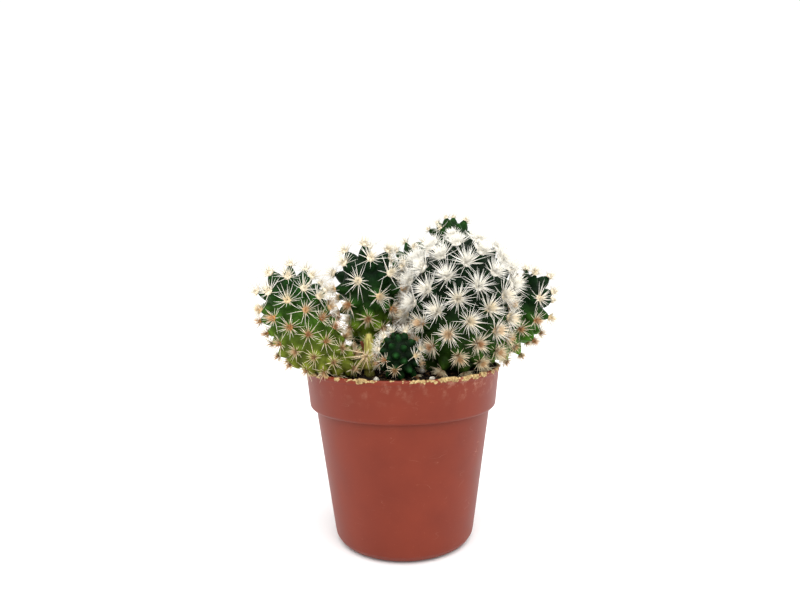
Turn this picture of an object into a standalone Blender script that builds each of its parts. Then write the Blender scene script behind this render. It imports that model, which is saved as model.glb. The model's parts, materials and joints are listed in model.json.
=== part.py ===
"""Potted round cactus: a clump of round spiny stems in a small moulded flower pot.

Run with: blender --background --python part.py, or from Blender's text editor.

Frame: metres, +Z up, origin at the middle of the pot's underside, +Y to the back of the clump.
Every stem is one grown piece: a turned body on a bent axis, covered with cone shaped tubercles.
The tubercles sit on a golden-angle spiral, and each bears a star of spines on its areole.
"""

import itertools
import math

import bmesh
import bpy
import numpy as np

MM = 0.001

# Pot, a turned plastic moulding with a collar under its rim
POT_HEIGHT = 49.6 * MM
POT_RIM_RADIUS = 27.8 * MM
POT_BASE_RADIUS = 19.6 * MM
POT_WALL = 1.1 * MM
POT_FLOOR = 1.4 * MM
BASE_ROUNDING = 3.3 * MM
COLLAR_DEPTH = 11.2 * MM
COLLAR_DRAFT = 1.2 * MM  # how much the collar narrows from the rim to its lower edge
COLLAR_STEP = 1.6 * MM  # from the collar's lower edge in to the tapering wall
COLLAR_CHAMFER = 0.5 * MM
RIM_BEAD_DEPTH = 1.3 * MM
RIM_BEAD_STEP = 0.2 * MM
LIP_ROUNDING = 0.3  # chamfer of the lip's edges, as a share of the wall
DRAIN_HOLES = 4
DRAIN_DIAMETER = 3.8 * MM
DRAIN_CIRCLE_RADIUS = 11.5 * MM
DRAIN_SIDES = 12
TURNED_SIDES = 40

# Potting mix
SOIL_HEADSPACE = 1.7 * MM  # from the rim down to the mix at the wall
SOIL_CROWN = 0.9 * MM  # how much the mix is mounded in the middle
CLEARANCE = 0.3 * MM  # between any two pieces that touch
STEM_CLEARANCE = 1.6 * CLEARANCE  # between two stems, where their flat facets come closest
RIM_FLARE = 0.25  # how fast the underside of a leaning stem rises outwards over the rim

# Roots, where a stem goes into the mix
ROOT_DEPTH = 5.0 * MM
ROOT_SHARE = 0.45  # root radius as a share of the foot radius of its stem
ROOT_TIP_RADIUS = 0.5 * MM
POCKET_SIDES = 14

# Tubercles and spines, as shares of the local areole spacing
GOLDEN_ANGLE = math.pi * (3.0 - math.sqrt(5.0))
VALLEY_DEPTH = 0.24
CROWN_RING = 0.34
CROWN_DROP = 0.06
AREOLE_RISE = 0.25 * MM
SPINE_RISE = math.radians(38.0)  # spine angle over the skin
SHORTEST_SPINE = 0.45  # of the full length; where less room is left, the areole bears none
LEVEL_FOOT = 0.45  # share of a stem over which its cross-sections turn from level to square
PLAN_HEIGHT = 49.6 * MM  # the rim height that the heights of bends and crowns are given for
AXIS_SAMPLES = 40
CURVE_SAMPLES = 200
PROFILE_SAMPLES = 400
FITTING_STEPS = 16
HULL_SLACK = 1e-12

STEMS = {
    # foot and crown: ends of the axis; bend: its control point; all in mm, x right, y back, z up.
    # foot_r, belly_r: radii; belly_at: share of the axis up to the widest place; fullness: how
    # fast it swells over the foot (0.5 as a ball, 1.5 as a pear); gap: areole spacing at crown
    # and foot; spine: length at crown and foot; spiral: its hand (1 or -1) and its start in degrees.
    "stem_left": dict(
        foot=(-14.6, -12.8), bend=(-26.0, -14.0, 53.0), crown=(-32.4, -10.0, 78.0),
        foot_r=6.2, belly_r=9.3, belly_at=0.68, fullness=0.9, gap=(6.3, 4.5), spine=(3.8, 2.4),
        spiral=(1, 180)),
    "stem_middle": dict(
        foot=(-6.6, -3.6), bend=(-11.6, -5.0, 62.0), crown=(-8.2, -4.0, 84.2),
        foot_r=4.6, belly_r=10.0, belly_at=0.68, fullness=4.5, gap=(7.8, 5.9), spine=(4.2, 2.6),
        spiral=(-1, 246)),
    "stem_front": dict(
        foot=(-0.6, -17.0), bend=(-0.8, -17.2, 54.0), crown=(-1.0, -17.2, 60.6),
        foot_r=3.6, belly_r=5.6, belly_at=0.52, fullness=0.5, gap=(3.6, 3.6), spine=(2.0, 2.0),
        spiral=(1, 0)),
    "stem_large": dict(
        foot=(14.6, -7.0), bend=(16.4, -6.5, 66.0), crown=(16.8, -5.0, 86.0),
        foot_r=7.6, belly_r=14.8, belly_at=0.54, fullness=0.6, gap=(6.9, 6.3), spine=(4.2, 3.2),
        spiral=(-1, 3)),
    "stem_right": dict(
        foot=(20.4, 1.6), bend=(29.0, -3.0, 55.0), crown=(39.0, -2.0, 76.5),
        foot_r=4.2, belly_r=8.8, belly_at=0.66, fullness=0.9, gap=(6.9, 5.5), spine=(3.8, 2.8),
        spiral=(1, 348)),
    "stem_rear_tall": dict(
        foot=(7.0, 10.5), bend=(13.5, 14.5, 70.0), crown=(17.4, 10.5, 92.8),
        foot_r=5.4, belly_r=7.9, belly_at=0.86, fullness=0.8, gap=(5.4, 5.9), spine=(3.4, 3.0),
        spiral=(-1, 111)),
    "stem_rear_middle": dict(
        foot=(-1.6, 11.0), bend=(1.0, 13.0, 66.0), crown=(4.8, 10.5, 86.5),
        foot_r=4.4, belly_r=6.6, belly_at=0.74, fullness=0.8, gap=(6.2, 6.4), spine=(3.6, 3.0),
        spiral=(1, 0)),
    "stem_rear_left": dict(
        foot=(-11.0, 8.8), bend=(-10.6, 13.0, 57.0), crown=(-9.6, 16.4, 70.0),
        foot_r=4.6, belly_r=7.2, belly_at=0.56, fullness=0.6, gap=(6.6, 6.0), spine=(3.6, 3.0),
        spiral=(1, 0)),
    "stem_rear_right": dict(
        foot=(16.4, 12.4), bend=(24.0, 14.0, 56.0), crown=(28.5, 15.5, 70.0),
        foot_r=4.4, belly_r=8.0, belly_at=0.60, fullness=0.6, gap=(6.6, 6.0), spine=(3.6, 3.0),
        spiral=(1, 0)),
}

# Small dead pieces lying in the clump: x, y and height over the mix in mm
WITHERED_FOOT = (-7.8, -13.8)
WITHERED_TOP = (-8.9, -13.4, 11.0)
WITHERED_RADIUS = 1.7 * MM
WITHERED_SHAPE = (0.45, 0.5, 0.95, 1.05, 0.8, 0.75, 0.45)  # radius at even steps from its foot
WITHERED_ROOT_SHARE = 0.5  # its depth in the mix, as a share of the stems' roots
TUFT_PLACE = (-9.4, -18.4, 6.2)
TUFT_SPINES = 7
TUFT_SPINE = 5.5 * MM
TUFT_CORE = 0.7 * MM
TUFT_LEAN = math.radians(215.0)  # the way its longest spines point, seen from the front
STALK_FOOT = (-7.6, -9.4)
STALK_TOP = (-11.0, -11.6, 9.0)
STALK_RADIUS = 0.6 * MM
STALK_SHAPE = (0.8, 1.0, 0.75, 0.95, 0.6)
STALK_ROOT_SHARE = 0.4
PERLITE_PLACES = ((-6.6, -22.8), (5.2, -13.8), (7.4, -22.8), (-6.4, 21.2), (11.0, 21.4))
PERLITE_DIAMETER = 1.6 * MM


def pot_outer_radius(height):
    """Radius of the tapering wall under the collar, carried on up to the rim."""
    collar_foot = POT_HEIGHT - COLLAR_DEPTH
    neck = POT_RIM_RADIUS - COLLAR_DRAFT - COLLAR_STEP
    return POT_BASE_RADIUS + (neck - POT_BASE_RADIUS) * min(height / collar_foot, 1.0)


def pot_inside(offset):
    """Points (radius, height) of the inside of the pot, drawn in by offset, from the middle
    of the floor out and up to the level of the rim."""
    collar_foot = POT_HEIGHT - COLLAR_DEPTH
    floor = POT_FLOOR + offset
    rounding = BASE_ROUNDING - POT_WALL
    shift = POT_WALL + offset
    corner = pot_outer_radius(floor + rounding) - shift
    arc = [
        (corner - rounding + rounding * math.sin(turn), floor + rounding - rounding * math.cos(turn))
        for turn in np.linspace(0.0, math.pi / 2.0, 4)
    ]
    neck = pot_outer_radius(collar_foot) - shift
    collar = POT_RIM_RADIUS - COLLAR_DRAFT - shift
    return [(0.0, floor)] + arc + [
        (neck, collar_foot + POT_WALL + offset),
        (collar, collar_foot + POT_WALL + COLLAR_STEP * 0.5 + offset),
        (POT_RIM_RADIUS - shift, POT_HEIGHT),
    ]


def pot_outside():
    """Points (radius, height) of the outside of the pot, from the middle of its underside up."""
    collar_foot = POT_HEIGHT - COLLAR_DEPTH
    bead_foot = POT_HEIGHT - RIM_BEAD_DEPTH
    corner = pot_outer_radius(BASE_ROUNDING)
    arc = [
        (
            corner - BASE_ROUNDING + BASE_ROUNDING * math.sin(turn),
            BASE_ROUNDING - BASE_ROUNDING * math.cos(turn),
        )
        for turn in np.linspace(0.0, math.pi / 2.0, 5)
    ]
    collar = POT_RIM_RADIUS - COLLAR_DRAFT
    under_bead = POT_RIM_RADIUS - RIM_BEAD_STEP
    lip = POT_WALL * LIP_ROUNDING
    return [(0.0, 0.0)] + arc + [
        (pot_outer_radius(collar_foot), collar_foot),
        (collar - COLLAR_CHAMFER, collar_foot),
        (collar, collar_foot + COLLAR_CHAMFER),
        (under_bead, bead_foot),
        (POT_RIM_RADIUS, bead_foot + RIM_BEAD_STEP),
        (POT_RIM_RADIUS, POT_HEIGHT - lip),
        (POT_RIM_RADIUS - lip, POT_HEIGHT),
    ]


def soil_height(radius):
    """Height of the mounded top of the potting mix at a distance from the pot's axis."""
    mouth = POT_RIM_RADIUS - POT_WALL
    return POT_HEIGHT - SOIL_HEADSPACE + SOIL_CROWN * (1.0 - (radius / mouth) ** 2)


def floor_height(points):
    """The lowest that a stem may reach over each point: the mix, or a cone that clears the rim."""
    radius = np.hypot(points[:, 0], points[:, 1])
    over_rim = POT_HEIGHT + RIM_FLARE * (radius - (POT_RIM_RADIUS - 2.0 * POT_WALL))
    return np.maximum(over_rim, soil_height(radius)) + CLEARANCE


def add_material(name, colour, roughness):
    """A Principled BSDF material; colour is linear red, green and blue."""
    material = bpy.data.materials.new(name)
    material.use_nodes = True
    shader = material.node_tree.nodes["Principled BSDF"]
    shader.inputs["Base Color"].default_value = (*colour, 1.0)
    shader.inputs["Roughness"].default_value = roughness
    shader.inputs["Metallic"].default_value = 0.0
    material.diffuse_color = (*colour, 1.0)
    return material


def add_object(name, points, faces, material, smooth_angle=0.0):
    """A mesh object with its faces turned outwards."""
    mesh = bpy.data.meshes.new(name)
    mesh.from_pydata([tuple(point) for point in points], [], faces)
    shape = bmesh.new()
    shape.from_mesh(mesh)
    bmesh.ops.recalc_face_normals(shape, faces=shape.faces)
    shape.to_mesh(mesh)
    shape.free()
    mesh.materials.append(material)
    if smooth_angle:
        mesh.shade_smooth()
        mesh.set_sharp_from_angle(angle=smooth_angle)
    obj = bpy.data.objects.new(name, mesh)
    bpy.context.scene.collection.objects.link(obj)
    return obj


def turned(profile, sides):
    """A profile of (radius, height) points turned about the Z axis; it starts and ends on it."""
    points = [(0.0, 0.0, profile[0][1])]
    for radius, height in profile[1:-1]:
        for side in range(sides):
            turn = 2.0 * math.pi * side / sides
            points.append((radius * math.cos(turn), radius * math.sin(turn), height))
    points.append((0.0, 0.0, profile[-1][1]))
    last = len(points) - 1
    rings = len(profile) - 2
    faces = []
    for side in range(sides):
        after = (side + 1) % sides
        faces.append((0, 1 + side, 1 + after))
        faces.append((last, last - sides + after, last - sides + side))
        for ring in range(rings - 1):
            low = 1 + ring * sides
            high = low + sides
            faces.append((low + side, low + after, high + after, high + side))
    return points, faces


def add_cutter(name, profile, place, sides):
    """A turned solid that only cuts, hidden from the render."""
    points, faces = turned(profile, sides)
    moved = [(x + place[0], y + place[1], z) for x, y, z in points]
    cutter = add_object(name, moved, faces, bpy.data.materials["cutter"])
    cutter.hide_render = True
    cutter.display_type = "WIRE"
    return cutter


def cut(obj, cutter):
    """Takes the cutter out of the object with an exact Boolean."""
    modifier = obj.modifiers.new("cut_" + cutter.name, "BOOLEAN")
    modifier.operation = "DIFFERENCE"
    modifier.solver = "EXACT"
    modifier.object = cutter


def make_pot():
    """The moulded pot: one turned wall with a collar, and drain holes round its floor."""
    lip = POT_WALL * LIP_ROUNDING
    mouth = POT_RIM_RADIUS - POT_WALL
    over_lip = [(mouth + lip, POT_HEIGHT), (mouth, POT_HEIGHT - lip)]
    profile = pot_outside() + over_lip + pot_inside(0.0)[::-1][1:]
    points, faces = turned(profile, TURNED_SIDES)
    clay = add_material("terracotta_plastic", (0.30, 0.062, 0.031), 0.48)
    pot = add_object("pot", points, faces, clay, math.radians(35.0))
    hole = DRAIN_DIAMETER * 0.5
    profile = [(0.0, -POT_FLOOR), (hole, -POT_FLOOR), (hole, 2.0 * POT_FLOOR), (0.0, 2.0 * POT_FLOOR)]
    for number in range(DRAIN_HOLES):
        turn = math.pi / DRAIN_HOLES + 2.0 * math.pi * number / DRAIN_HOLES
        place = (DRAIN_CIRCLE_RADIUS * math.cos(turn), DRAIN_CIRCLE_RADIUS * math.sin(turn))
        cut(pot, add_cutter(f"drain_cutter_{number}", profile, place, DRAIN_SIDES))


def make_potting_mix(roots):
    """The mix: it fills the pot with clearance, is mounded on top, and has a pocket per root."""
    inside = [point for point in pot_inside(CLEARANCE) if point[1] < soil_height(point[0])]
    low = inside[-1]
    rim = pot_inside(CLEARANCE)[-1]
    edge_height = POT_HEIGHT - SOIL_HEADSPACE
    share = (edge_height - low[1]) / (rim[1] - low[1])
    edge = low[0] + (rim[0] - low[0]) * share
    top = [(edge * ring, soil_height(edge * ring)) for ring in (1.0, 0.72, 0.42, 0.0)]
    points, faces = turned(inside + top, TURNED_SIDES)
    peat = add_material("potting_mix", (0.022, 0.014, 0.009), 0.95)
    mix = add_object("potting_mix", points, faces, peat, math.radians(50.0))
    grow = 1.0 / math.cos(math.pi / POCKET_SIDES)
    for name, (x, y, radius, depth) in roots.items():
        surface = soil_height(math.hypot(x, y))
        wide = (radius + CLEARANCE) * grow
        thin = (ROOT_TIP_RADIUS + CLEARANCE) * grow
        foot = surface - depth - CLEARANCE
        above = surface + ROOT_DEPTH
        profile = [(0.0, foot), (thin, foot), (wide, surface), (wide, above), (0.0, above)]
        cut(mix, add_cutter("pocket_" + name, profile, (x, y), POCKET_SIDES))


class BallRow:
    """A body as a row of balls that fill it: how far a point lies from its skin."""

    fixed = True  # stems give way to it, and it to nothing

    def __init__(self, centres, radii):
        self.ball_centre = np.array(centres)
        self.ball_radius = np.array(radii)

    def distance(self, points):
        """Distance from the skin, negative inside, and the ball that each point is nearest to."""
        apart = np.linalg.norm(points[:, None, :] - self.ball_centre[None], axis=2)
        apart -= self.ball_radius
        return apart.min(axis=1), apart.argmin(axis=1)


class Stem(BallRow):
    """A turned body on a bent axis, whose areoles lie on a golden-angle spiral."""

    fixed = False

    def __init__(self, plan):
        self.plan = plan
        ground = soil_height(math.hypot(*plan["foot"]) * MM)
        lift = ground + CLEARANCE
        foot = np.array([*plan["foot"], 0.0]) * MM + (0.0, 0.0, lift)
        datum = POT_HEIGHT - PLAN_HEIGHT
        bend = np.array(plan["bend"]) * MM + (0.0, 0.0, datum)
        crown = np.array(plan["crown"]) * MM + (0.0, 0.0, datum)
        share = np.linspace(0.0, 1.0, CURVE_SAMPLES)[:, None]
        curve = (1 - share) ** 2 * foot + 2 * share * (1 - share) * bend + share**2 * crown
        steps = np.linalg.norm(np.diff(curve, axis=0), axis=1)
        self.along = np.concatenate([[0.0], np.cumsum(steps)])
        self.curve = curve
        self.length = self.along[-1]
        self.make_profile()
        self.make_balls()

    def make_profile(self):
        """Radius over height along the axis: an elliptic dome over a swelling lower part."""
        plan = self.plan
        belly = plan["belly_at"] * self.length
        swell = (plan["belly_r"] - plan["foot_r"]) * MM
        turn = np.linspace(0.0, math.pi / 2.0, PROFILE_SAMPLES)
        dome_height = belly + (self.length - belly) * np.cos(turn)
        dome_radius = plan["belly_r"] * MM * np.sin(turn)
        low_height = np.linspace(belly, 0.0, PROFILE_SAMPLES)[1:]
        low_radius = plan["foot_r"] * MM + swell * (
            1.0 - (1.0 - low_height / belly) ** 2
        ) ** plan["fullness"]
        self.height = np.concatenate([dome_height, low_height])
        self.radius = np.concatenate([dome_radius, low_radius])

    def make_balls(self):
        """The largest ball that fits inside the skin around each of a row of axis points."""
        self.ball_height = np.linspace(0.06, 0.94, AXIS_SAMPLES) * self.length
        across = self.ball_height[:, None] - self.height[None, :]
        self.ball_radius = np.hypot(across, self.radius[None, :]).min(axis=1)
        self.ball_centre = self.axis_point(self.ball_height)

    def axis_point(self, height):
        return np.stack([np.interp(height, self.along, self.curve[:, k]) for k in range(3)], axis=-1)

    def frame(self, height):
        """Tangent and two square directions of the axis; the foot's ring lies level on the mix."""
        step = self.length * 0.01
        after = self.axis_point(np.minimum(height + step, self.length))
        tangent = after - self.axis_point(np.maximum(height - step, 0.0))
        tangent /= np.linalg.norm(tangent, axis=-1, keepdims=True)
        share = np.clip(height / (LEVEL_FOOT * self.length), 0.0, 1.0)[..., None]
        tangent = tangent * share + np.array([0.0, 0.0, 1.0]) * (1.0 - share)
        tangent /= np.linalg.norm(tangent, axis=-1, keepdims=True)
        right = np.array([1.0, 0.0, 0.0]) - tangent[..., :1] * tangent
        right /= np.linalg.norm(right, axis=-1, keepdims=True)
        return tangent, right, np.cross(tangent, right)

    def areoles(self):
        """Places, skin normals and sphere directions of the areoles on a golden-angle spiral.

        Their number and spread follow the skin area over the area of one tubercle, and the
        sphere directions are the skin's conformal image, in which neighbours stay neighbours."""
        gap_crown, gap_foot = self.plan["gap"]
        share = self.height / self.length
        gap = (gap_foot + (gap_crown - gap_foot) * share) * MM
        middle = 0.5 * (self.radius[1:] + self.radius[:-1])
        stretch = np.hypot(np.diff(self.height), np.diff(self.radius))
        tubercle = 0.866 * (0.5 * (gap[1:] + gap[:-1])) ** 2
        count = np.concatenate([[0.0], np.cumsum(2.0 * math.pi * middle * stretch / tubercle)])
        number = max(int(round(count[-1])), 8)
        order = (np.arange(number) + 0.5) / number * count[-1]
        place = np.interp(order, count, np.arange(len(count)))
        height = np.interp(place, np.arange(len(count)), self.height)
        radius = np.interp(place, np.arange(len(count)), self.radius)
        hand, start = self.plan["spiral"]
        turn = math.radians(start) + hand * np.arange(number) * GOLDEN_ANGLE
        mercator = np.concatenate([[0.0], np.cumsum(stretch / middle)])
        mercator -= 0.5 * (mercator[-1] + np.interp(place[0], np.arange(len(count)), mercator))
        colatitude = 2.0 * np.arctan(np.exp(np.interp(place, np.arange(len(count)), mercator)))
        sphere = np.stack(
            [np.sin(colatitude) * np.cos(turn), np.sin(colatitude) * np.sin(turn), np.cos(colatitude)],
            axis=1,
        )
        tangent, right, back = self.frame(height)
        outward = right * np.cos(turn)[:, None] + back * np.sin(turn)[:, None]
        points = self.axis_point(height) + outward * radius[:, None]
        rise = np.interp(place, np.arange(len(stretch)), -np.diff(self.height) / stretch)
        lean = np.interp(place, np.arange(len(stretch)), np.diff(self.radius) / stretch)
        normals = outward * rise[:, None] + tangent * lean[:, None]
        normals /= np.linalg.norm(normals, axis=1, keepdims=True)
        return points, normals, sphere, height / self.length


def hull_triangles(directions):
    """The triangles of the convex hull of points on a sphere, which are their Delaunay net:
    three points make one where all the others lie on one side of their plane."""
    triples = np.array(list(itertools.combinations(range(len(directions)), 3)))
    first, second, third = (directions[triples[:, k]] for k in range(3))
    across = np.cross(second - first, third - first)
    across /= np.linalg.norm(across, axis=1, keepdims=True)
    side = across @ directions.T - (across * first).sum(axis=1)[:, None]
    empty = (side < HULL_SLACK).all(axis=1) | (side > -HULL_SLACK).all(axis=1)
    return [tuple(triple) for triple in triples[empty]]


def order_around(centre, points):
    """The order of points on a sphere as they go round one of its points."""
    side = np.cross(centre, (0.0, 1.0, 0.0) if abs(centre[1]) < 0.8 else (1.0, 0.0, 0.0))
    arms = points - centre
    return np.argsort(np.arctan2(arms @ np.cross(centre, side), arms @ side))


def clear_of_others(points, own, others):
    """Whether each point keeps to its own stem's side of the others, and off mix and pot."""
    mine, _ = own.distance(points)
    free = points[:, 2] >= floor_height(points) - 1e-9
    for other in others:
        theirs, _ = other.distance(points)
        free &= (0.0 if other.fixed else mine) + STEM_CLEARANCE <= theirs
    return free


def drawn_in(points, own, others):
    """Points drawn in towards the stem's own axis until they are clear of its neighbours."""
    _, nearest = own.distance(points)
    anchors = own.ball_centre[nearest]
    low = np.zeros(len(points))
    high = np.ones(len(points))
    whole = clear_of_others(points, own, others)
    for _ in range(FITTING_STEPS):
        middle = 0.5 * (low + high)
        free = clear_of_others(anchors + (points - anchors) * middle[:, None], own, others)
        low = np.where(free, middle, low)
        high = np.where(free, high, middle)
    share = np.where(whole, 1.0, low)
    return anchors + (points - anchors) * share[:, None], share


def grow_stem(name, stem, others, material):
    """One stem as a closed mesh: valley corners, crown ring, areole and spine tips per tubercle."""
    places, normals, sphere, share = stem.areoles()
    foot = stem.axis_point(np.array([0.0]))[0]
    sites = np.vstack([places, foot])
    net = np.vstack([sphere, (0.0, 0.0, -1.0)])
    triangles = hull_triangles(net)
    ups = np.vstack([normals, (0.0, 0.0, -1.0)])
    gap_crown, gap_foot = stem.plan["gap"]
    gaps = (gap_foot + (gap_crown - gap_foot) * np.append(share, 0.0)) * MM
    corner_index = np.array(triangles)
    lift = ups[corner_index].sum(axis=1)
    lift /= np.linalg.norm(lift, axis=1, keepdims=True)
    depth = VALLEY_DEPTH * gaps[corner_index].mean(axis=1)
    valleys = sites[corner_index].mean(axis=1) - lift * depth[:, None]
    valleys, _ = drawn_in(valleys, stem, others)
    middles = net[corner_index].mean(axis=1)
    points = [tuple(valley) for valley in valleys]
    faces = []
    around = {site: [] for site in range(len(sites))}
    for index, triangle in enumerate(triangles):
        for site in triangle:
            around[site].append(index)
    for site in range(len(places)):
        up = normals[site]
        order = order_around(net[site], middles[around[site]])
        corners = [around[site][k] for k in order]
        arms = valleys[corners] - places[site]
        arms -= (arms @ up)[:, None] * up
        ring = places[site] + CROWN_RING * arms - up * CROWN_DROP * gaps[site]
        ring, ring_share = drawn_in(ring, stem, others)
        areole, areole_share = drawn_in((places[site] + up * AREOLE_RISE)[None], stem, others)
        count = len(corners)
        first = len(points)
        points.extend(tuple(point) for point in ring)
        middle_index = len(points)
        points.append(tuple(areole[0]))
        pressed = min(ring_share.min(), areole_share.min()) < 1.0
        tips = None if pressed else spine_tips(stem, others, places, site, up, ring, share[site])
        if tips is not None:
            points.extend(tuple(tip) for tip in tips)
        for k in range(count):
            after = (k + 1) % count
            faces.append((corners[k], corners[after], first + after))
            faces.append((corners[k], first + after, first + k))
            if tips is None:
                faces.append((first + k, first + after, middle_index))
                continue
            tip = middle_index + 1 + k
            faces.append((first + k, first + after, tip))
            faces.append((first + after, middle_index, tip))
            faces.append((middle_index, first + k, tip))
    underside = around[len(places)]
    corners = [underside[k] for k in order_around(net[-1], middles[underside])]
    add_root(points, faces, valleys, corners, foot, stem)
    return add_object(name, points, faces, material)


def spine_tips(stem, others, places, site, up, ring, share):
    """Tips of an areole's spines, one over each edge of its ring, or None where there's no room.

    A tip stays nearer to its own areole than to any other, so no two spines cross."""
    long_spine, short_spine = stem.plan["spine"]
    full = (short_spine + (long_spine - short_spine) * min(1.0, 1.6 * share)) * MM
    middles = 0.5 * (ring + np.roll(ring, -1, axis=0))
    out = middles - ring.mean(axis=0)
    out -= (out @ up)[:, None] * up
    out /= np.linalg.norm(out, axis=1, keepdims=True)
    direction = out * math.cos(SPINE_RISE) + up * math.sin(SPINE_RISE)
    rest = np.delete(places, site, axis=0)
    tips = np.full_like(middles, np.nan)
    for length in np.linspace(1.0, SHORTEST_SPINE, 8) * full:
        tried = middles + direction * length
        own = np.linalg.norm(tried - places[site], axis=1)
        nearest = np.linalg.norm(tried[:, None, :] - rest[None], axis=2).min(axis=1)
        good = (own + CLEARANCE <= nearest) & clear_of_others(tried, stem, others)
        tips = np.where(np.isnan(tips) & good[:, None], tried, tips)
    return None if np.isnan(tips).any() else tips


def root_radius(stem):
    return stem.plan["foot_r"] * MM * ROOT_SHARE


def add_root(points, faces, valleys, corners, foot, stem):
    """Closes the underside with a tapering root that goes down into its pocket in the mix."""
    arms = valleys[corners] - foot
    turns = np.arctan2(arms[:, 1], arms[:, 0])
    even = -np.arange(len(corners)) * 2.0 * math.pi / len(corners)
    even += np.angle(np.exp(1j * (turns - even)).sum())
    surface = foot[2] - CLEARANCE
    levels = (
        (root_radius(stem), foot[2]),
        (root_radius(stem) * 0.96, surface - 0.15 * ROOT_DEPTH),
        (ROOT_TIP_RADIUS, surface - ROOT_DEPTH),
    )
    rings = [corners]
    for radius, height in levels:
        rings.append(list(range(len(points), len(points) + len(corners))))
        for turn in even:
            x = foot[0] + radius * math.cos(turn)
            points.append((x, foot[1] + radius * math.sin(turn), height))
    for upper, lower in zip(rings, rings[1:]):
        for k in range(len(corners)):
            after = (k + 1) % len(corners)
            faces.append((upper[after], upper[k], lower[k]))
            faces.append((upper[after], lower[k], lower[after]))
    faces.append(tuple(rings[-1][::-1]))


def on_mix(place, lift=0.0):
    """A point in metres over the mix, from x and y in mm."""
    x, y = place[0] * MM, place[1] * MM
    return np.array([x, y, soil_height(math.hypot(x, y)) + lift])


def lathed_stick(foot, top, radii, sides):
    """A closed stick of rings between two points, with one radius per ring, and its faces."""
    foot, top = np.array(foot), np.array(top)
    axis = (top - foot) / np.linalg.norm(top - foot)
    right = np.cross(axis, (0.0, 1.0, 0.0))
    right /= np.linalg.norm(right)
    back = np.cross(axis, right)
    turns = np.arange(sides) * 2.0 * math.pi / sides
    circle = np.cos(turns)[:, None] * right + np.sin(turns)[:, None] * back
    levels = np.linspace(0.0, 1.0, len(radii))
    points = [tuple(foot)]
    for level, radius in zip(levels, radii):
        points.extend(tuple(foot + (top - foot) * level + radius * spoke) for spoke in circle)
    points.append(tuple(top + axis * radii[-1] * 0.5))
    last = len(points) - 1
    faces = []
    for side in range(sides):
        after = (side + 1) % sides
        faces.append((0, 1 + after, 1 + side))
        faces.append((last, last - sides + side, last - sides + after))
        for ring in range(len(radii) - 1):
            low = 1 + ring * sides
            high = low + sides
            faces.append((low + side, low + after, high + after, high + side))
    return points, faces


def stick_balls(foot, top, radius):
    """Balls along a stick, for stems to keep clear of."""
    share = np.linspace(0.0, 1.0, 12)[:, None]
    return foot + (top - foot) * share, np.full(len(share), radius)


def pocket_for(foot, top, radius, depth):
    """The pocket of a leaning stick: centred on its foot, and wider by its shift up to the mix."""
    shift = math.hypot(*(top - foot)[:2]) * depth / (top - foot)[2]
    return (*foot[:2], radius + shift, depth)


def make_withered_offset():
    """A small offset that has dried up: a shrunken cone, rooted in front of the middle stem."""
    depth = ROOT_DEPTH * WITHERED_ROOT_SHARE
    foot = on_mix(WITHERED_FOOT, -depth)
    top = on_mix(WITHERED_TOP, WITHERED_TOP[2] * MM)
    radii = [WITHERED_RADIUS * share for share in WITHERED_SHAPE]
    points, faces = lathed_stick(foot, top, radii, 8)
    straw = add_material("withered_flesh", (0.52, 0.47, 0.13), 0.7)
    add_object("withered_offset", points, faces, straw, math.radians(60.0))
    widest = WITHERED_RADIUS * max(WITHERED_SHAPE)
    return BallRow(*stick_balls(foot, top, widest)), pocket_for(foot, top, widest, depth)


def make_dry_stalk():
    """A dead flower stalk standing in the mix beside the middle stem."""
    depth = ROOT_DEPTH * STALK_ROOT_SHARE
    foot = on_mix(STALK_FOOT, -depth)
    top = on_mix(STALK_TOP, STALK_TOP[2] * MM)
    radii = [STALK_RADIUS * share for share in STALK_SHAPE]
    points, faces = lathed_stick(foot, top, radii, 6)
    bark = add_material("dry_stalk", (0.16, 0.045, 0.02), 0.85)
    add_object("dry_stalk", points, faces, bark, math.radians(60.0))
    return BallRow(*stick_balls(foot, top, STALK_RADIUS)), pocket_for(foot, top, STALK_RADIUS, depth)


def make_dry_spine_tuft():
    """A fallen tuft of long dry spines: a small core with a fan of three-sided spikes."""
    centre = on_mix(TUFT_PLACE, TUFT_PLACE[2] * MM)
    turns = np.arange(TUFT_SPINES) * 2.0 * math.pi / TUFT_SPINES
    ring = centre + TUFT_CORE * np.stack([np.cos(turns), 0.0 * turns, np.sin(turns)], axis=1)
    behind = centre + (0.0, TUFT_CORE, 0.0)
    front = centre - (0.0, TUFT_CORE * 0.6, 0.0)
    points = [tuple(point) for point in ring] + [tuple(behind), tuple(front)]
    faces = []
    centres, radii = [centre[None]], [[TUFT_CORE]]
    for k in range(TUFT_SPINES):
        after = (k + 1) % TUFT_SPINES
        turn = turns[k] + math.pi / TUFT_SPINES
        length = TUFT_SPINE * (0.25 + 0.75 * max(0.0, math.cos(turn - TUFT_LEAN)))
        tip = centre + length * np.array([math.cos(turn), -0.25, math.sin(turn)])
        points.append(tuple(tip))
        index = len(points) - 1
        faces.append((k, after, TUFT_SPINES))
        faces.append((after, k, index))
        faces.append((TUFT_SPINES + 1, after, index))
        faces.append((k, TUFT_SPINES + 1, index))
        row, thick = stick_balls(centre, tip, TUFT_CORE * 0.4)
        centres.append(row)
        radii.append(thick)
    straw = add_material("dry_spines", (0.62, 0.42, 0.2), 0.6)
    add_object("dry_spine_tuft", points, faces, straw)
    return BallRow(np.vstack(centres), np.concatenate(radii))


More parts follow.
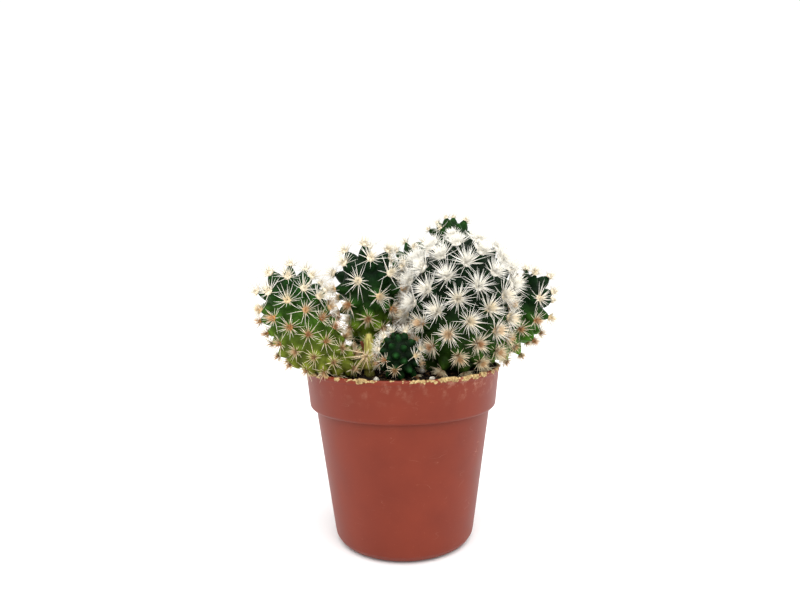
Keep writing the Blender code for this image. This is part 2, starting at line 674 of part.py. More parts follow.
def make_perlite():
    """Grains of white perlite lying on the mix, each a lumpy ball."""
    white = add_material("perlite", (0.78, 0.76, 0.72), 0.9)
    random = np.random.default_rng(5)
    for number, place in enumerate(PERLITE_PLACES):
        grain = bmesh.new()
        bmesh.ops.create_icosphere(grain, subdivisions=2, radius=PERLITE_DIAMETER * 0.5)
        centre = on_mix(place, PERLITE_DIAMETER * 0.5 + CLEARANCE)
        points = []
        for vert in grain.verts:
            squash = np.array([1.0, 1.0, 0.85]) * (1.0 - 0.22 * random.random())
            points.append(tuple(centre + np.array(vert.co) * squash))
        faces = [tuple(vert.index for vert in face.verts) for face in grain.faces]
        grain.free()
        add_object(f"perlite_grain_{number + 1}", points, faces, white, math.radians(40.0))


def clear_scene():
    for obj in list(bpy.data.objects):
        bpy.data.objects.remove(obj, do_unlink=True)


def main():
    clear_scene()
    add_material("cutter", (1.0, 0.0, 0.0), 1.0)
    withered, withered_root = make_withered_offset()
    stalk, stalk_root = make_dry_stalk()
    dead = [withered, stalk, make_dry_spine_tuft()]
    roots = {"withered_offset": withered_root, "dry_stalk": stalk_root}
    stems = {name: Stem(plan) for name, plan in STEMS.items()}
    green = add_material("cactus_flesh", (0.028, 0.09, 0.02), 0.55)
    for name, stem in stems.items():
        others = [other for key, other in stems.items() if key != name] + dead
        grow_stem(name, stem, others, green)
        x, y, _ = stem.axis_point(np.array([0.0]))[0]
        roots[name] = (x, y, root_radius(stem), ROOT_DEPTH)
    make_perlite()
    make_pot()
    make_potting_mix(roots)


main()
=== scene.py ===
# %% [markdown]
# # Potted round cactus: the looks
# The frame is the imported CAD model: a moulded flower pot, its potting mix and nine round stems,
# with a few small dead pieces. Every piece below is built in that same frame, in metres, and
# takes its sizes from the frame's own meshes, so that a change to the model moves the looks too.

# %% Load the frame
import json
import math

import bpy
import numpy as np
from mathutils import Euler, Matrix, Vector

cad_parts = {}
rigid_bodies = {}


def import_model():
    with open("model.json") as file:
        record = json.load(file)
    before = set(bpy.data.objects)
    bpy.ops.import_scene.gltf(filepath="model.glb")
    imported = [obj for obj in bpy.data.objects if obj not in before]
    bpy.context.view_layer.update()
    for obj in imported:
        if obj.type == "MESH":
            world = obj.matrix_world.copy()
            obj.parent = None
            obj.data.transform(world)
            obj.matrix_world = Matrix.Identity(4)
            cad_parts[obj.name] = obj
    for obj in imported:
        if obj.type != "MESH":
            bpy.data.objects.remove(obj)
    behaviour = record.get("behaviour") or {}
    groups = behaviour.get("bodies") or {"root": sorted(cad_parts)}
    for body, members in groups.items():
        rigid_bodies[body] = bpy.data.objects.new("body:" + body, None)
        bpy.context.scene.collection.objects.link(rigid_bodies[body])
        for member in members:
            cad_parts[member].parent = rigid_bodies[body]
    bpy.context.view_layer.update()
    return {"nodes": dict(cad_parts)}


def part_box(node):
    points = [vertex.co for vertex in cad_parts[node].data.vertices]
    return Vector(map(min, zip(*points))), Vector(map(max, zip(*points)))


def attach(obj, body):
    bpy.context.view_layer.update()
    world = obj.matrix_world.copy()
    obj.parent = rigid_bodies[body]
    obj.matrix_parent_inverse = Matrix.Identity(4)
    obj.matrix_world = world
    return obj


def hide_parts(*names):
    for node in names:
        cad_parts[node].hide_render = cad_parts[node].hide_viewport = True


MM = 0.001
for item in list(bpy.data.objects):
    bpy.data.objects.remove(item)
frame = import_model()

# %% [markdown]
# ## Colour and material helpers
# A listed colour is in sRGB, while Cycles works in linear light, so one function turns
# hex values into linear ones. One more adds a node with its settings and whatever feeds it.
# A few short names for the nodes used most then make a material a short list: noise, ramp, mix.


# %% Colour and node helpers
def linear(code):
    """A hex sRGB colour as linear red, green, blue and alpha 1, by the sRGB curve."""
    value = np.array([int(code[k : k + 2], 16) for k in (1, 3, 5)]) / 255.0
    curve = np.where(value <= 0.04045, value / 12.92, ((value + 0.055) / 1.055) ** 2.4)
    return (*curve, 1.0)


def add(tree, kind, inputs=(), stops=(), **settings):
    """Adds a node. Inputs map a socket to a value or to the output that feeds it, settings are
    the node's own properties, and stops are (place, hex colour) pairs of a colour ramp."""
    node = tree.nodes.new(kind)
    for key, value in settings.items():
        setattr(node, key, value)
    for socket, value in dict(inputs).items():
        if isinstance(value, bpy.types.NodeSocket):
            tree.links.new(value, node.inputs[socket])
        else:
            node.inputs[socket].default_value = value
    if stops:
        ramp = node.color_ramp.elements
        while len(ramp) < len(stops):
            ramp.new(1.0)
        for element, (place, code) in zip(ramp, stops):
            element.position = place
            element.color = linear(code)
    return node


def new_material(name, **sockets):
    """A material with a Principled shader, whose constant values are set on its own sockets."""
    material = bpy.data.materials.new(name)
    material.use_nodes = True
    shader = material.node_tree.nodes["Principled BSDF"]
    for socket, value in sockets.items():
        shader.inputs[socket.replace("_", " ")].default_value = value
    return material, material.node_tree, shader


def sources(tree):
    """What most materials start from: the point in Object coordinates and the piece's own tone."""
    place = add(tree, "ShaderNodeTexCoord").outputs["Object"]
    return place, add(tree, "ShaderNodeAttribute", attribute_name="tone").outputs["Color"]


def noise(tree, place, size, detail, **inputs):
    """Noise from 0 to 1 whose spots are about this size in metres."""
    values = {"Vector": place, "Scale": 1.0 / size, "Detail": detail, **inputs}
    return add(tree, "ShaderNodeTexNoise", values).outputs["Fac"]


def ramp(tree, value, *stops):
    """Colours along a value from 0 to 1, given as (place, hex colour) pairs."""
    return add(tree, "ShaderNodeValToRGB", {"Fac": value}, stops).outputs["Color"]


def mix(tree, share, first, second, blend_type="MIX"):
    """Two colours blended, or multiplied, by a share from 0 to 1."""
    inputs = {"Fac": share, "Color1": first, "Color2": second}
    return add(tree, "ShaderNodeMixRGB", inputs, blend_type=blend_type).outputs["Color"]


def span(tree, value, start, end, low, high):
    """A value carried in a straight line from start..end to low..high, and held beyond them."""
    inputs = {"Value": value, "From Min": start, "From Max": end, "To Min": low, "To Max": high}
    return add(tree, "ShaderNodeMapRange", inputs).outputs["Result"]


def product(tree, first, second, **settings):
    """One value times another."""
    times = add(tree, "ShaderNodeMath", {0: first, 1: second}, operation="MULTIPLY", **settings)
    return times.outputs[0]


def finish_surface(tree, shader, colour, height, strength, depth):
    """Gives a shader its colour, and fine bumps of about this depth in metres."""
    bump = add(tree, "ShaderNodeBump", {"Height": height, "Strength": strength, "Distance": depth})
    tree.links.new(colour, shader.inputs["Base Color"])
    tree.links.new(bump.outputs["Normal"], shader.inputs["Normal"])


# %% [markdown]
# ## Reading the CAD stems
# Each CAD stem is a net of valley corners with one tubercle per cell: a ring, an apex where the
# areole sits, and spikes that stand for its spines. A copy of that net, without the spikes, tells
# where every areole is and how far the body swells. A spike's tip has exactly three edges, so
# counting edges finds the tips, and an apex is a point whose neighbours all have five.


# %% Net helpers
def merged(name):
    """Points and triangles of a CAD node: corners on the same micrometre become one point."""
    mesh = frame["nodes"][name].data
    points = np.empty(len(mesh.vertices) * 3)
    mesh.vertices.foreach_get("co", points)
    points = points.reshape(-1, 3)
    corners = np.empty(len(mesh.loops), dtype=np.int64)
    mesh.loops.foreach_get("vertex_index", corners)
    grid = np.round(points / 1e-6).astype(np.int64)
    _, first, index = np.unique(grid, axis=0, return_index=True, return_inverse=True)
    return points[first], index.reshape(-1)[corners].reshape(-1, 3)


def edges_of(faces):
    """Each edge of a triangle net once, as sorted pairs."""
    pairs = np.vstack([faces[:, [0, 1]], faces[:, [1, 2]], faces[:, [2, 0]]])
    return np.unique(np.sort(pairs, axis=1), axis=0)


def neighbour_sum(edges, values):
    """For each point, the sum of its neighbours' values."""
    total = np.zeros_like(values)
    np.add.at(total, edges[:, 0], values[edges[:, 1]])
    np.add.at(total, edges[:, 1], values[edges[:, 0]])
    return total


def unit(vectors):
    return vectors / np.maximum(np.linalg.norm(vectors, axis=-1, keepdims=True), 1e-12)


def ring_quads(rings, sides):
    """Quads between stacked rings of points. They face outward when the rings go up and each
    runs anticlockwise seen from above."""
    around = np.arange(sides)
    after = (around + 1) % sides
    low = np.arange(rings - 1)[:, None] * sides
    quads = [low + around, low + after, low + after + sides, low + around + sides]
    return np.stack(quads, axis=-1).reshape(-1, 4)


def copies(faces, count, size):
    """The same faces once for each of many copies, of this many points each."""
    first = (np.arange(count) * size)[:, None, None]
    return (faces[None] + first).reshape(-1, faces.shape[1])


def without_spikes(points, faces):
    """The net with each three-sided spike taken off and its three-cornered hole closed."""
    edges = edges_of(faces)
    tip = np.bincount(edges.ravel(), minlength=len(points)) == 3
    spiked = tip[faces].any(axis=1)
    sides = faces[spiked]
    row = np.arange(len(sides))
    at = tip[sides].argmax(axis=1)
    base = np.stack([sides[row, (at + 1) % 3], sides[row, (at + 2) % 3]], axis=1)
    base = base[np.argsort(sides[row, at], kind="stable")].reshape(-1, 3, 2)
    third = base[:, :, 0].sum(axis=1) - base[:, 0].sum(axis=1)
    closed = np.column_stack([base[:, 0], third])
    return np.vstack([faces[~spiked], closed])


# %% [markdown]
# ## Flattening the cones
# Each CAD tubercle is a cone. Laying its apex and ring flat between the valleys leaves the bare
# body that the fine tubercles grow from.


# %% Read every stem
def read_stem(name):
    """The stem's net with its cones flattened into a smooth body, and its areoles.

    An apex goes to the mean of the valley corners round it, and a ring point to the middle
    between that and the valley corners beside it."""
    points, faces = merged(name)
    faces = without_spikes(points, faces)
    used, faces = np.unique(faces, return_inverse=True)
    points, faces = points[used], faces.reshape(-1, 3)
    edges = edges_of(faces)
    valence = np.bincount(edges.ravel(), minlength=len(points))
    fives = neighbour_sum(edges, (valence == 5).astype(float))
    apex = fives == valence
    ring = (neighbour_sum(edges, apex.astype(float)) == 1) & ~apex
    valley = (~ring & ~apex).astype(float)[:, None]
    corner_mean = neighbour_sum(edges, points * valley)
    corner_mean /= np.maximum(neighbour_sum(edges, valley), 1.0)
    ring_share = ring.astype(float)[:, None]
    apex_flat = neighbour_sum(edges, corner_mean * ring_share)
    apex_flat /= np.maximum(neighbour_sum(edges, ring_share), 1.0)
    flat = np.where(apex[:, None], apex_flat, points)
    own_apex = neighbour_sum(edges, flat * apex[:, None].astype(float))
    flat = np.where(ring[:, None], 0.5 * (corner_mean + own_apex), flat)
    return {"flat": flat, "faces": faces, "areole": points[apex], "seat": flat[apex]}


STEMS = sorted(name for name in frame["nodes"] if name.startswith("stem_"))
plan = {name: read_stem(name) for name in STEMS}
MIX_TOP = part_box("potting_mix")[1].z
for name in STEMS:
    print(f"{name}: {len(plan[name]['areole'])} areoles")

# %% [markdown]
# ## The flesh
# A globular cactus has no leaves: its green skin is a body of tubercles, fat wax-coated nipples
# packed on a spiral, each with a woolly areole at its tip. A soft body is made by subdividing the
# flattened net. Every point is then pushed out by how near it is to its own areole compared
# with the border of its cell, which gives round heaps that meet in sharp, shaded valleys.


# %% Tubercle field
TUBERCLE_SWELL = 0.92  # a rounded tubercle stands a little lower than the CAD's cone
FINE_STEMS = ("stem_large", "stem_left", "stem_middle", "stem_right")  # seen close by
VALLEY_SHARPNESS = 5.0  # how tightly two tubercles meet, per spacing
SKIN_FADE = 1.5 * MM  # the tubercles die away over this height above the mix
SUN_LEAN = 0.18  # how much each star turns up towards the light


def subdivided(name, points, faces, levels):
    """Points, quads and normals of the net after Catmull-Clark subdivision."""
    mesh = bpy.data.meshes.new(name + "_net")
    mesh.from_pydata(points.tolist(), [], faces.tolist())
    cage = bpy.data.objects.new(name + "_net", mesh)
    bpy.context.scene.collection.objects.link(cage)
    smooth = cage.modifiers.new("smooth", "SUBSURF")
    smooth.levels = smooth.render_levels = levels
    fine = cage.evaluated_get(bpy.context.evaluated_depsgraph_get()).to_mesh()
    place = np.empty(len(fine.vertices) * 3)
    fine.vertices.foreach_get("co", place)
    normal = np.empty(len(fine.vertices) * 3)
    fine.vertices.foreach_get("normal", normal)
    quads = np.empty(len(fine.loops), dtype=np.int64)
    fine.loops.foreach_get("vertex_index", quads)
    bpy.data.objects.remove(cage)
    return place.reshape(-1, 3), quads.reshape(-1, 4), normal.reshape(-1, 3)


def cell_share(points, seats):
    """How far each point lies from its own areole towards the border of its cell, 0 to 1, and
    the number of that areole.

    The border towards another seat lies midway, at (D^2 - d^2) / 2S for the distances D and d
    to the two seats and their spacing S; a soft minimum over all other seats rounds it."""
    apart = np.linalg.norm(points[:, None] - seats[None], axis=2).astype(np.float32)
    own = apart.argmin(axis=1)
    near = apart[np.arange(len(points)), own][:, None]
    spacing = np.linalg.norm(seats[:, None] - seats[None], axis=2).astype(np.float32)
    nearest_spacing = np.where(spacing > 0.0, spacing, np.inf).min(axis=1)
    gap = spacing[own]
    midway = (apart**2 - near**2) / (2.0 * np.maximum(gap, 1e-6))
    border = np.where(gap > 0.0, midway, np.inf)
    sharp = VALLEY_SHARPNESS / nearest_spacing[own][:, None]
    closest = border.min(axis=1, keepdims=True)
    crowd = np.log(np.exp(-sharp * (border - closest)).sum(axis=1))
    soft = np.maximum(closest[:, 0] - crowd / sharp[:, 0], 0.0)
    return near[:, 0] / np.maximum(near[:, 0] + soft, 1e-9), own


def grow_flesh(name):
    """The stem's skin: body point + normal x tubercle height x (1 - t^2.8)^0.75, where t is the
    share of the way from the areole to the border of its cell."""
    stem = plan[name]
    levels = 3 if name in FINE_STEMS else 2
    points, quads, normals = subdivided(name, stem["flat"], stem["faces"], levels)
    share, own = cell_share(points, stem["seat"])
    height = np.linalg.norm(stem["areole"] - stem["seat"], axis=1) * TUBERCLE_SWELL
    above = np.clip((points[:, 2] - MIX_TOP) / SKIN_FADE, 0.0, 1.0)
    bump = np.maximum(1.0 - share**2.8, 0.0) ** 0.75
    skin = points + normals * (height[own] * bump * above)[:, None]
    stem["share"] = share
    closest = np.linalg.norm(points[:, None] - stem["seat"][None], axis=2).argmin(axis=0)
    stem["up"] = unit(normals[closest] + np.array([0.0, 0.0, SUN_LEAN]))
    stem["tip"] = stem["seat"] + normals[closest] * height[:, None]
    return skin, quads


# %% [markdown]
# ## Turning arrays into pieces
# Every piece goes the same way: arrays of points and faces into one mesh, smooth shading, a
# colour attribute if the piece has one, a material and a body to ride on, and the CAD node that
# it replaces is hidden.


# %% Piece helper
def add_piece(name, points, faces, material, node, tone=None):
    """A finished piece at the origin, with its place in its mesh. Faces is a list of arrays,
    each of faces with the same number of corners."""
    mesh = bpy.data.meshes.new(name)
    mesh.vertices.add(len(points))
    mesh.vertices.foreach_set("co", np.asarray(points, dtype=np.float32).ravel())
    corners = np.concatenate([part.ravel() for part in faces]).astype(np.int32)
    widths = np.concatenate([np.full(len(part), part.shape[1]) for part in faces])
    starts = np.concatenate([[0], np.cumsum(widths)[:-1]]).astype(np.int32)
    mesh.loops.add(len(corners))
    mesh.loops.foreach_set("vertex_index", corners)
    mesh.polygons.add(len(starts))
    mesh.polygons.foreach_set("loop_start", starts)
    mesh.update(calc_edges=True)
    mesh.shade_smooth()
    if tone is not None:
        layer = mesh.color_attributes.new("tone", "FLOAT_COLOR", "POINT")
        layer.data.foreach_set("color", np.column_stack([tone, np.ones(len(tone))]).ravel())
    mesh.materials.append(material)
    piece = bpy.data.objects.new(name, mesh)
    bpy.context.scene.collection.objects.link(piece)
    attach(piece, "root")
    if node:
        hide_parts(node)
    print(f"{name}: {len(mesh.polygons)} faces")
    return piece


def blend_tones(codes, share):
    """Colours between a row of hex colours, by a share from 0 at the first to 1 at the last."""
    row = np.array([linear(code)[:3] for code in codes])
    place = np.clip(share, 0.0, 1.0) * (len(codes) - 1)
    steps = np.arange(len(codes))
    return np.stack([np.interp(place, steps, row[:, k]) for k in range(3)], axis=1)


# %% [markdown]
# ## Flesh: living cactus epidermis, grown
# The skin is a thick wax-coated epidermis over green tissue. Wax gives a satin sheen rather than
# a wet gloss, the old flesh near the soil turns yellow green, and the valleys get painted shade.
# The broad colours come from an attribute, and fine noise adds stomata and corky flecks.

# %% Flesh material
FLECK = 0.35 * MM  # corky flecks, a few tenths of a millimetre
MOTTLE = 2.5 * MM  # lighter and darker patches of tissue
flesh, tree, shader = new_material(
    "living_cactus_epidermis", Roughness=0.5, IOR=1.42, Specular_IOR_Level=0.08
)
place, tone = sources(tree)
patch = ramp(tree, noise(tree, place, MOTTLE, 3.0), (0.3, "#9a9a9a"), (0.7, "#ffffff"))
varied = mix(tree, 1.0, tone, patch, "MULTIPLY")
fleck = noise(tree, place, FLECK, 2.0)
cork = ramp(tree, fleck, (0.64, "#000000"), (0.76, "#606060"))
skin_colour = mix(tree, cork, varied, linear("#7f8c52"))
finish_surface(tree, shader, skin_colour, fleck, 0.25, 0.05 * MM)
print("material", flesh.name)

# %% [markdown]
# ## Skin tones
# Each stem has its own greens. The tone is painted on by height, with painted shade towards the
# valleys.

# %% Grow the flesh
# skin colours from the soil up to the crown; painted shade darkens them in the valleys between
# tubercles
SKIN_TONES = {
    "stem_left": ("#8f9434", "#7c8e2e", "#4f7a22", "#23501a", "#173c14"),
    "stem_middle": ("#a9c63c", "#a0c034", "#33601c", "#123415", "#123415"),
    "stem_front": ("#2c5a28", "#20501f", "#1d4a1e", "#225024"),
    "stem_large": ("#3f5f1c", "#2f5218", "#122f14", "#0f2b13", "#0f2b13"),
    "stem_right": ("#6f9a2c", "#4d8222", "#123414", "#0e2c10"),
}
REAR_TONES = ("#6a8a2c", "#3f6a22", "#24501c", "#204a18")
# painted shade: how much darker the skin is painted towards the valleys
PAINTED_VALLEY_SHADE = 0.45
# painted shade: the small stem's valleys are painted nearly black
PAINTED_DEEP_SHADE = {"stem_front": 0.85}  # the small stem's valleys are nearly black


def flesh_tones(name, points, share):
    """Tone by height over the soil, with painted shade towards the valleys."""
    top = points[:, 2].max()
    height = (points[:, 2] - MIX_TOP) / (top - MIX_TOP)
    tone = blend_tones(SKIN_TONES.get(name, REAR_TONES), height)
    shade = PAINTED_DEEP_SHADE.get(name, PAINTED_VALLEY_SHADE)
    return tone * (1.0 - shade * share ** (2 if name in PAINTED_DEEP_SHADE else 4))[:, None]


for name in STEMS:
    skin, quads = grow_flesh(name)
    tones = flesh_tones(name, skin, plan[name]["share"])
    add_piece(name + "_flesh", skin, [quads], flesh, name, tones)

# %% [markdown]
# ## Spines
# A spine is a leaf turned into a needle: a thin tapering spike, nearly straight. Each areole
# bears some forty of them, with a low ring of long radial spines and shorter ones that stand up
# in the middle, so it looks like a star with a white button. All needles of a stem are made in
# one go: an axis that bends slightly, carried round by a small circle whose radius shrinks.

# %% Needles
NEEDLE_SIDES = 3
NEEDLE_RINGS = 3
NEEDLE_TAPER = 0.85  # share of its radius that a needle loses from root to tip
NEEDLE_FADE = 2.2  # how fast the root's tone gives way to the tip's


def needles(roots, directions, bends, lengths, radii, tones):
    """Needles as closed tubes: root + direction x s x L + bend x s^2 x L, for s from 0 to 1.

    The radius is R (1 - taper x s), and each ring has a few corners round the needle's direction.
    Tones hold one colour at the root and one at the tip of each needle."""
    share = np.linspace(0.0, 1.0, NEEDLE_RINGS)
    turn = np.arange(NEEDLE_SIDES) * 2.0 * math.pi / NEEDLE_SIDES
    helper = np.where(np.abs(directions[:, 2:]) < 0.8, (0.0, 0.0, 1.0), (1.0, 0.0, 0.0))
    side = unit(np.cross(directions, helper))
    other = np.cross(directions, side)
    step = lengths[:, None, None] * share[None, :, None]
    axis = roots[:, None] + directions[:, None] * step
    axis = axis + bends[:, None] * step * share[None, :, None]
    circle = np.cos(turn)[None, :, None] * side[:, None]
    circle = circle + np.sin(turn)[None, :, None] * other[:, None]
    taper = radii[:, None] * (1.0 - NEEDLE_TAPER * share)[None]
    points = axis[:, :, None] + circle[:, None] * taper[:, :, None, None]
    fade = np.minimum(NEEDLE_FADE * share, 1.0)[None, :, None]
    tone = tones[0][:, None] + (tones[1] - tones[0])[:, None] * fade
    tone = np.repeat(tone[:, :, None], NEEDLE_SIDES, axis=2)
    around = np.arange(NEEDLE_SIDES)
    ends = np.array([around[::-1], (NEEDLE_RINGS - 1) * NEEDLE_SIDES + around])
    size = NEEDLE_RINGS * NEEDLE_SIDES
    walls = copies(ring_quads(NEEDLE_RINGS, NEEDLE_SIDES), len(roots), size)
    faces = [walls, copies(ends, len(roots), size)]
    return points.reshape(-1, 3), faces, tone.reshape(-1, 3)


# %% [markdown]
# ## Wool
# The areole under each star is a felted cushion of hairs too short to draw one by one: a small
# lumpy dome that shows between the needles.

# %% Wool buttons
WOOL_RINGS = 4
WOOL_SIDES = 8
WOOL_REACH = 0.62 * math.pi  # how far down from its pole a dome goes
DOWNWARD = [0, 3, 2, 1]  # turns a quad over, for rings that go down from a pole


def domes(seats, ups, radii, tones, random):
    """Lumpy domes, one per areole: angle a from the pole, turn b, radius x (1 + noise), and a
    height of six tenths of the radius."""
    side, other = square_directions(ups)
    a = np.linspace(0.12, 1.0, WOOL_RINGS) * WOOL_REACH
    b = np.arange(WOOL_SIDES) * 2.0 * math.pi / WOOL_SIDES
    lump = 1.0 + 0.35 * (random.random((len(seats), WOOL_RINGS, WOOL_SIDES)) - 0.5)
    reach = radii[:, None, None] * lump
    x = reach * (np.sin(a)[:, None] * np.cos(b))[None]
    y = reach * (np.sin(a)[:, None] * np.sin(b))[None]
    z = 0.6 * reach * np.cos(a)[None, :, None]
    points = seats[:, None, None] + side[:, None, None] * x[..., None]
    points = points + other[:, None, None] * y[..., None] + ups[:, None, None] * z[..., None]
    walls = ring_quads(WOOL_RINGS, WOOL_SIDES)[:, DOWNWARD]
    half = np.arange(WOOL_SIDES // 2 - 1)
    pole = np.stack([0 * half, 2 * half + 1, 2 * half + 2, (2 * half + 3) % WOOL_SIDES], axis=-1)
    floor = (WOOL_RINGS - 1) * WOOL_SIDES + pole[:, ::-1]
    size = WOOL_RINGS * WOOL_SIDES
    quads = copies(np.vstack([walls, pole, floor]), len(seats), size)
    return points.reshape(-1, 3), quads, np.repeat(tones, size, axis=0)


def square_directions(ups):
    """Two directions square to each up direction, and to each other."""
    helper = np.where(np.abs(ups[:, 2:]) < 0.9, (0.0, 0.0, 1.0), (1.0, 0.0, 0.0))
    side = unit(np.cross(helper, ups))
    return side, np.cross(ups, side)


# %% [markdown]
# ## Spines: keratin-like dry needles, grown
# Young spines are opaque white, and with age they turn cream, then straw and rusty brown from
# the root up. Their surface is matt and faintly streaked along their length.

# %% Spine material
STREAK = 0.25 * MM  # patches of stain along the needles
spine_bark, tree, shader = new_material("dry_white_spines", Roughness=0.62, IOR=1.45)
place, tone = sources(tree)
stain = ramp(tree, noise(tree, place, STREAK, 2.0), (0.25, "#dfd5c2"), (0.55, "#ffffff"))
aged = mix(tree, 0.8, tone, stain, "MULTIPLY")
tree.links.new(aged, shader.inputs["Base Color"])
print("material", spine_bark.name)

# %% [markdown]
# ## How old a star looks
# New spines grow at the crown, so a star's age follows its height: white at the crown, then
# cream, straw and rust. Stars squeezed between two stems are painted older and darker, partly
# because they wear sooner and partly as painted shade between the stems. One number from 0 (old)
# to 1 (young) sets all three colours.

# %% Ages of the stars
# (needle root, needle tip, wool), from the oldest to the youngest
AGES = (
    ("#bd9060", "#ead9b4", "#b98a58"),
    ("#bf9058", "#efe2c0", "#b8804a"),
    ("#b27434", "#f4e9cc", "#a5662e"),
    ("#d6a05c", "#faf3de", "#d09a54"),
    ("#f4e4c0", "#fdf9ec", "#f0dcb2"),
    ("#fff9ea", "#fffcf4", "#fff8e8"),
    ("#fffdf5", "#fffdf6", "#fffcf2"),
)
# needles per star, length (mm), thickness (mm), whiteness, how much the middle fills up
STARS = {
    "stem_left": (38, 4.3, 0.22, 0.60, 0.9),
    "stem_middle": (50, 4.6, 0.23, 0.62, 0.85),
    "stem_front": (34, 2.9, 0.2, 0.72, 0.9),
    "stem_large": (144, 4.5, 0.24, 1.0, 0.55),
    "stem_right": (46, 4.1, 0.23, 0.72, 0.8),
    "stem_rear_tall": (24, 2.7, 0.22, 0.62, 0.9),
}
REAR_STAR = (34, 3.2, 0.26, 0.66, 0.9)
BEARING = {"stem_front": 0.5, "stem_rear_tall": 0.6}  # share of the areoles that bear a star
YOUNG_SHORTER = {"stem_large": 0.4}  # how much shorter the newest spines are, at the crown
CROWN = 0.84  # the share of the height at which the crown starts
MIDDLE_AGE_HEIGHT = 0.62  # the share of the height at which the whiteness above holds
AGE_SLOPE = 1.6
AGE_SPREAD = 0.22
PALEST = 0.76  # only the big head's stars are purely white
# partly painted shade, partly wear and stain: how much older and darker the stars between two stems
# are painted
PAINTED_SHADE_AND_WEAR_AGE = 0.3  # how much older the stars look that are squeezed between two stems
SQUEEZE_GAP = 6.5 * MM  # an areole this close to another stem is squeezed
SQUEEZE_SHORTER = 0.45  # how much shorter a needle is whose end is squeezed


def star_ages(name, tips, level, random):
    """Age = whiteness + slope x (height - middle height) + a spread that puts rusty stars beside
    pale ones half way down, kept between 0 and the palest allowed."""
    white = STARS.get(name, REAR_STAR)[3]
    spread = AGE_SPREAD * (random.random(len(tips)) - 0.5)
    age = (np.clip(level, 0.0, 1.0) - MIDDLE_AGE_HEIGHT) * AGE_SLOPE + white + spread
    return np.clip(age, 0.0, 1.0 if name == "stem_large" else PALEST)


def squeezed(name, points, reach):
    """How much a point is squeezed by the other stems: 0 when free, 1 when a tip inside one.

    The nearest areole of another stem and its upward direction tell how far off its skin is."""
    seats = np.vstack([plan[other]["tip"] for other in STEMS if other != name])
    ways = np.vstack([plan[other]["up"] for other in STEMS if other != name])
    away = np.linalg.norm(points[:, None] - seats[None], axis=2)
    nearest = away.argmin(axis=1)
    off = ((points - seats[nearest]) * ways[nearest]).sum(axis=1)
    near = np.clip(1.5 - away.min(axis=1) / reach, 0.0, 1.0)
    return near * np.clip(1.0 - off / (0.5 * reach), 0.0, 1.0)


print(f"{len(AGES)} ages from {AGES[0][0]} to {AGES[-1][0]}")

# %% [markdown]
# ## Growing the stars
# Each needle turns by the golden angle from the last, so that none lies on another, and rises
# from nearly flat outside to upright in the middle, where the needles are shorter.

# %% Grow the spines
GOLDEN_ANGLE = math.pi * (3.0 - math.sqrt(5.0))
LOWEST_RISE = 4.0  # degrees over the skin, for the outermost needle
RISE_SPAN = 80.0
WOOL_SIZE = (0.3, 0.8)  # mm: wool radius of an old star, and what a young one adds to it


def star_directions(ups, count, fill, random):
    """Directions of every star's needles: azimuth on the golden angle, rise from low outside to
    upright in the middle, each with a little scatter."""
    side, other = square_directions(ups)
    shape = (len(ups), count)
    rank = np.arange(count) / (count - 1)
    turn = np.arange(count) * GOLDEN_ANGLE + 0.5 * random.random(shape)
    turn += 2.0 * math.pi * random.random((len(ups), 1))
    rise = np.radians(LOWEST_RISE + RISE_SPAN * rank**fill)
    rise = rise + 0.24 * (random.random(shape) - 0.5)
    direction = ups[:, None] * np.sin(rise)[..., None]
    direction += side[:, None] * (np.cos(turn) * np.cos(rise))[..., None]
    direction += other[:, None] * (np.sin(turn) * np.cos(rise))[..., None]
    return direction


def star_tones(age, count):
    """Root and tip tone of every needle: tips are a little younger, but in the middle of a star
    they take the root's tone, which makes its warm centre."""
    root_codes, tip_codes, _ = zip(*AGES)
    root_tone = blend_tones(root_codes, age)
    tip_tone = blend_tones(tip_codes, age + 0.1)
    rank = np.arange(count) / (count - 1)
    middle = 0.85 * np.clip((rank - 0.4) / 0.3, 0.0, 1.0)[None, :, None]
    tip_tone = tip_tone[:, None] + (root_tone - tip_tone)[:, None] * middle
    return np.repeat(root_tone, count, axis=0), tip_tone.reshape(-1, 3)


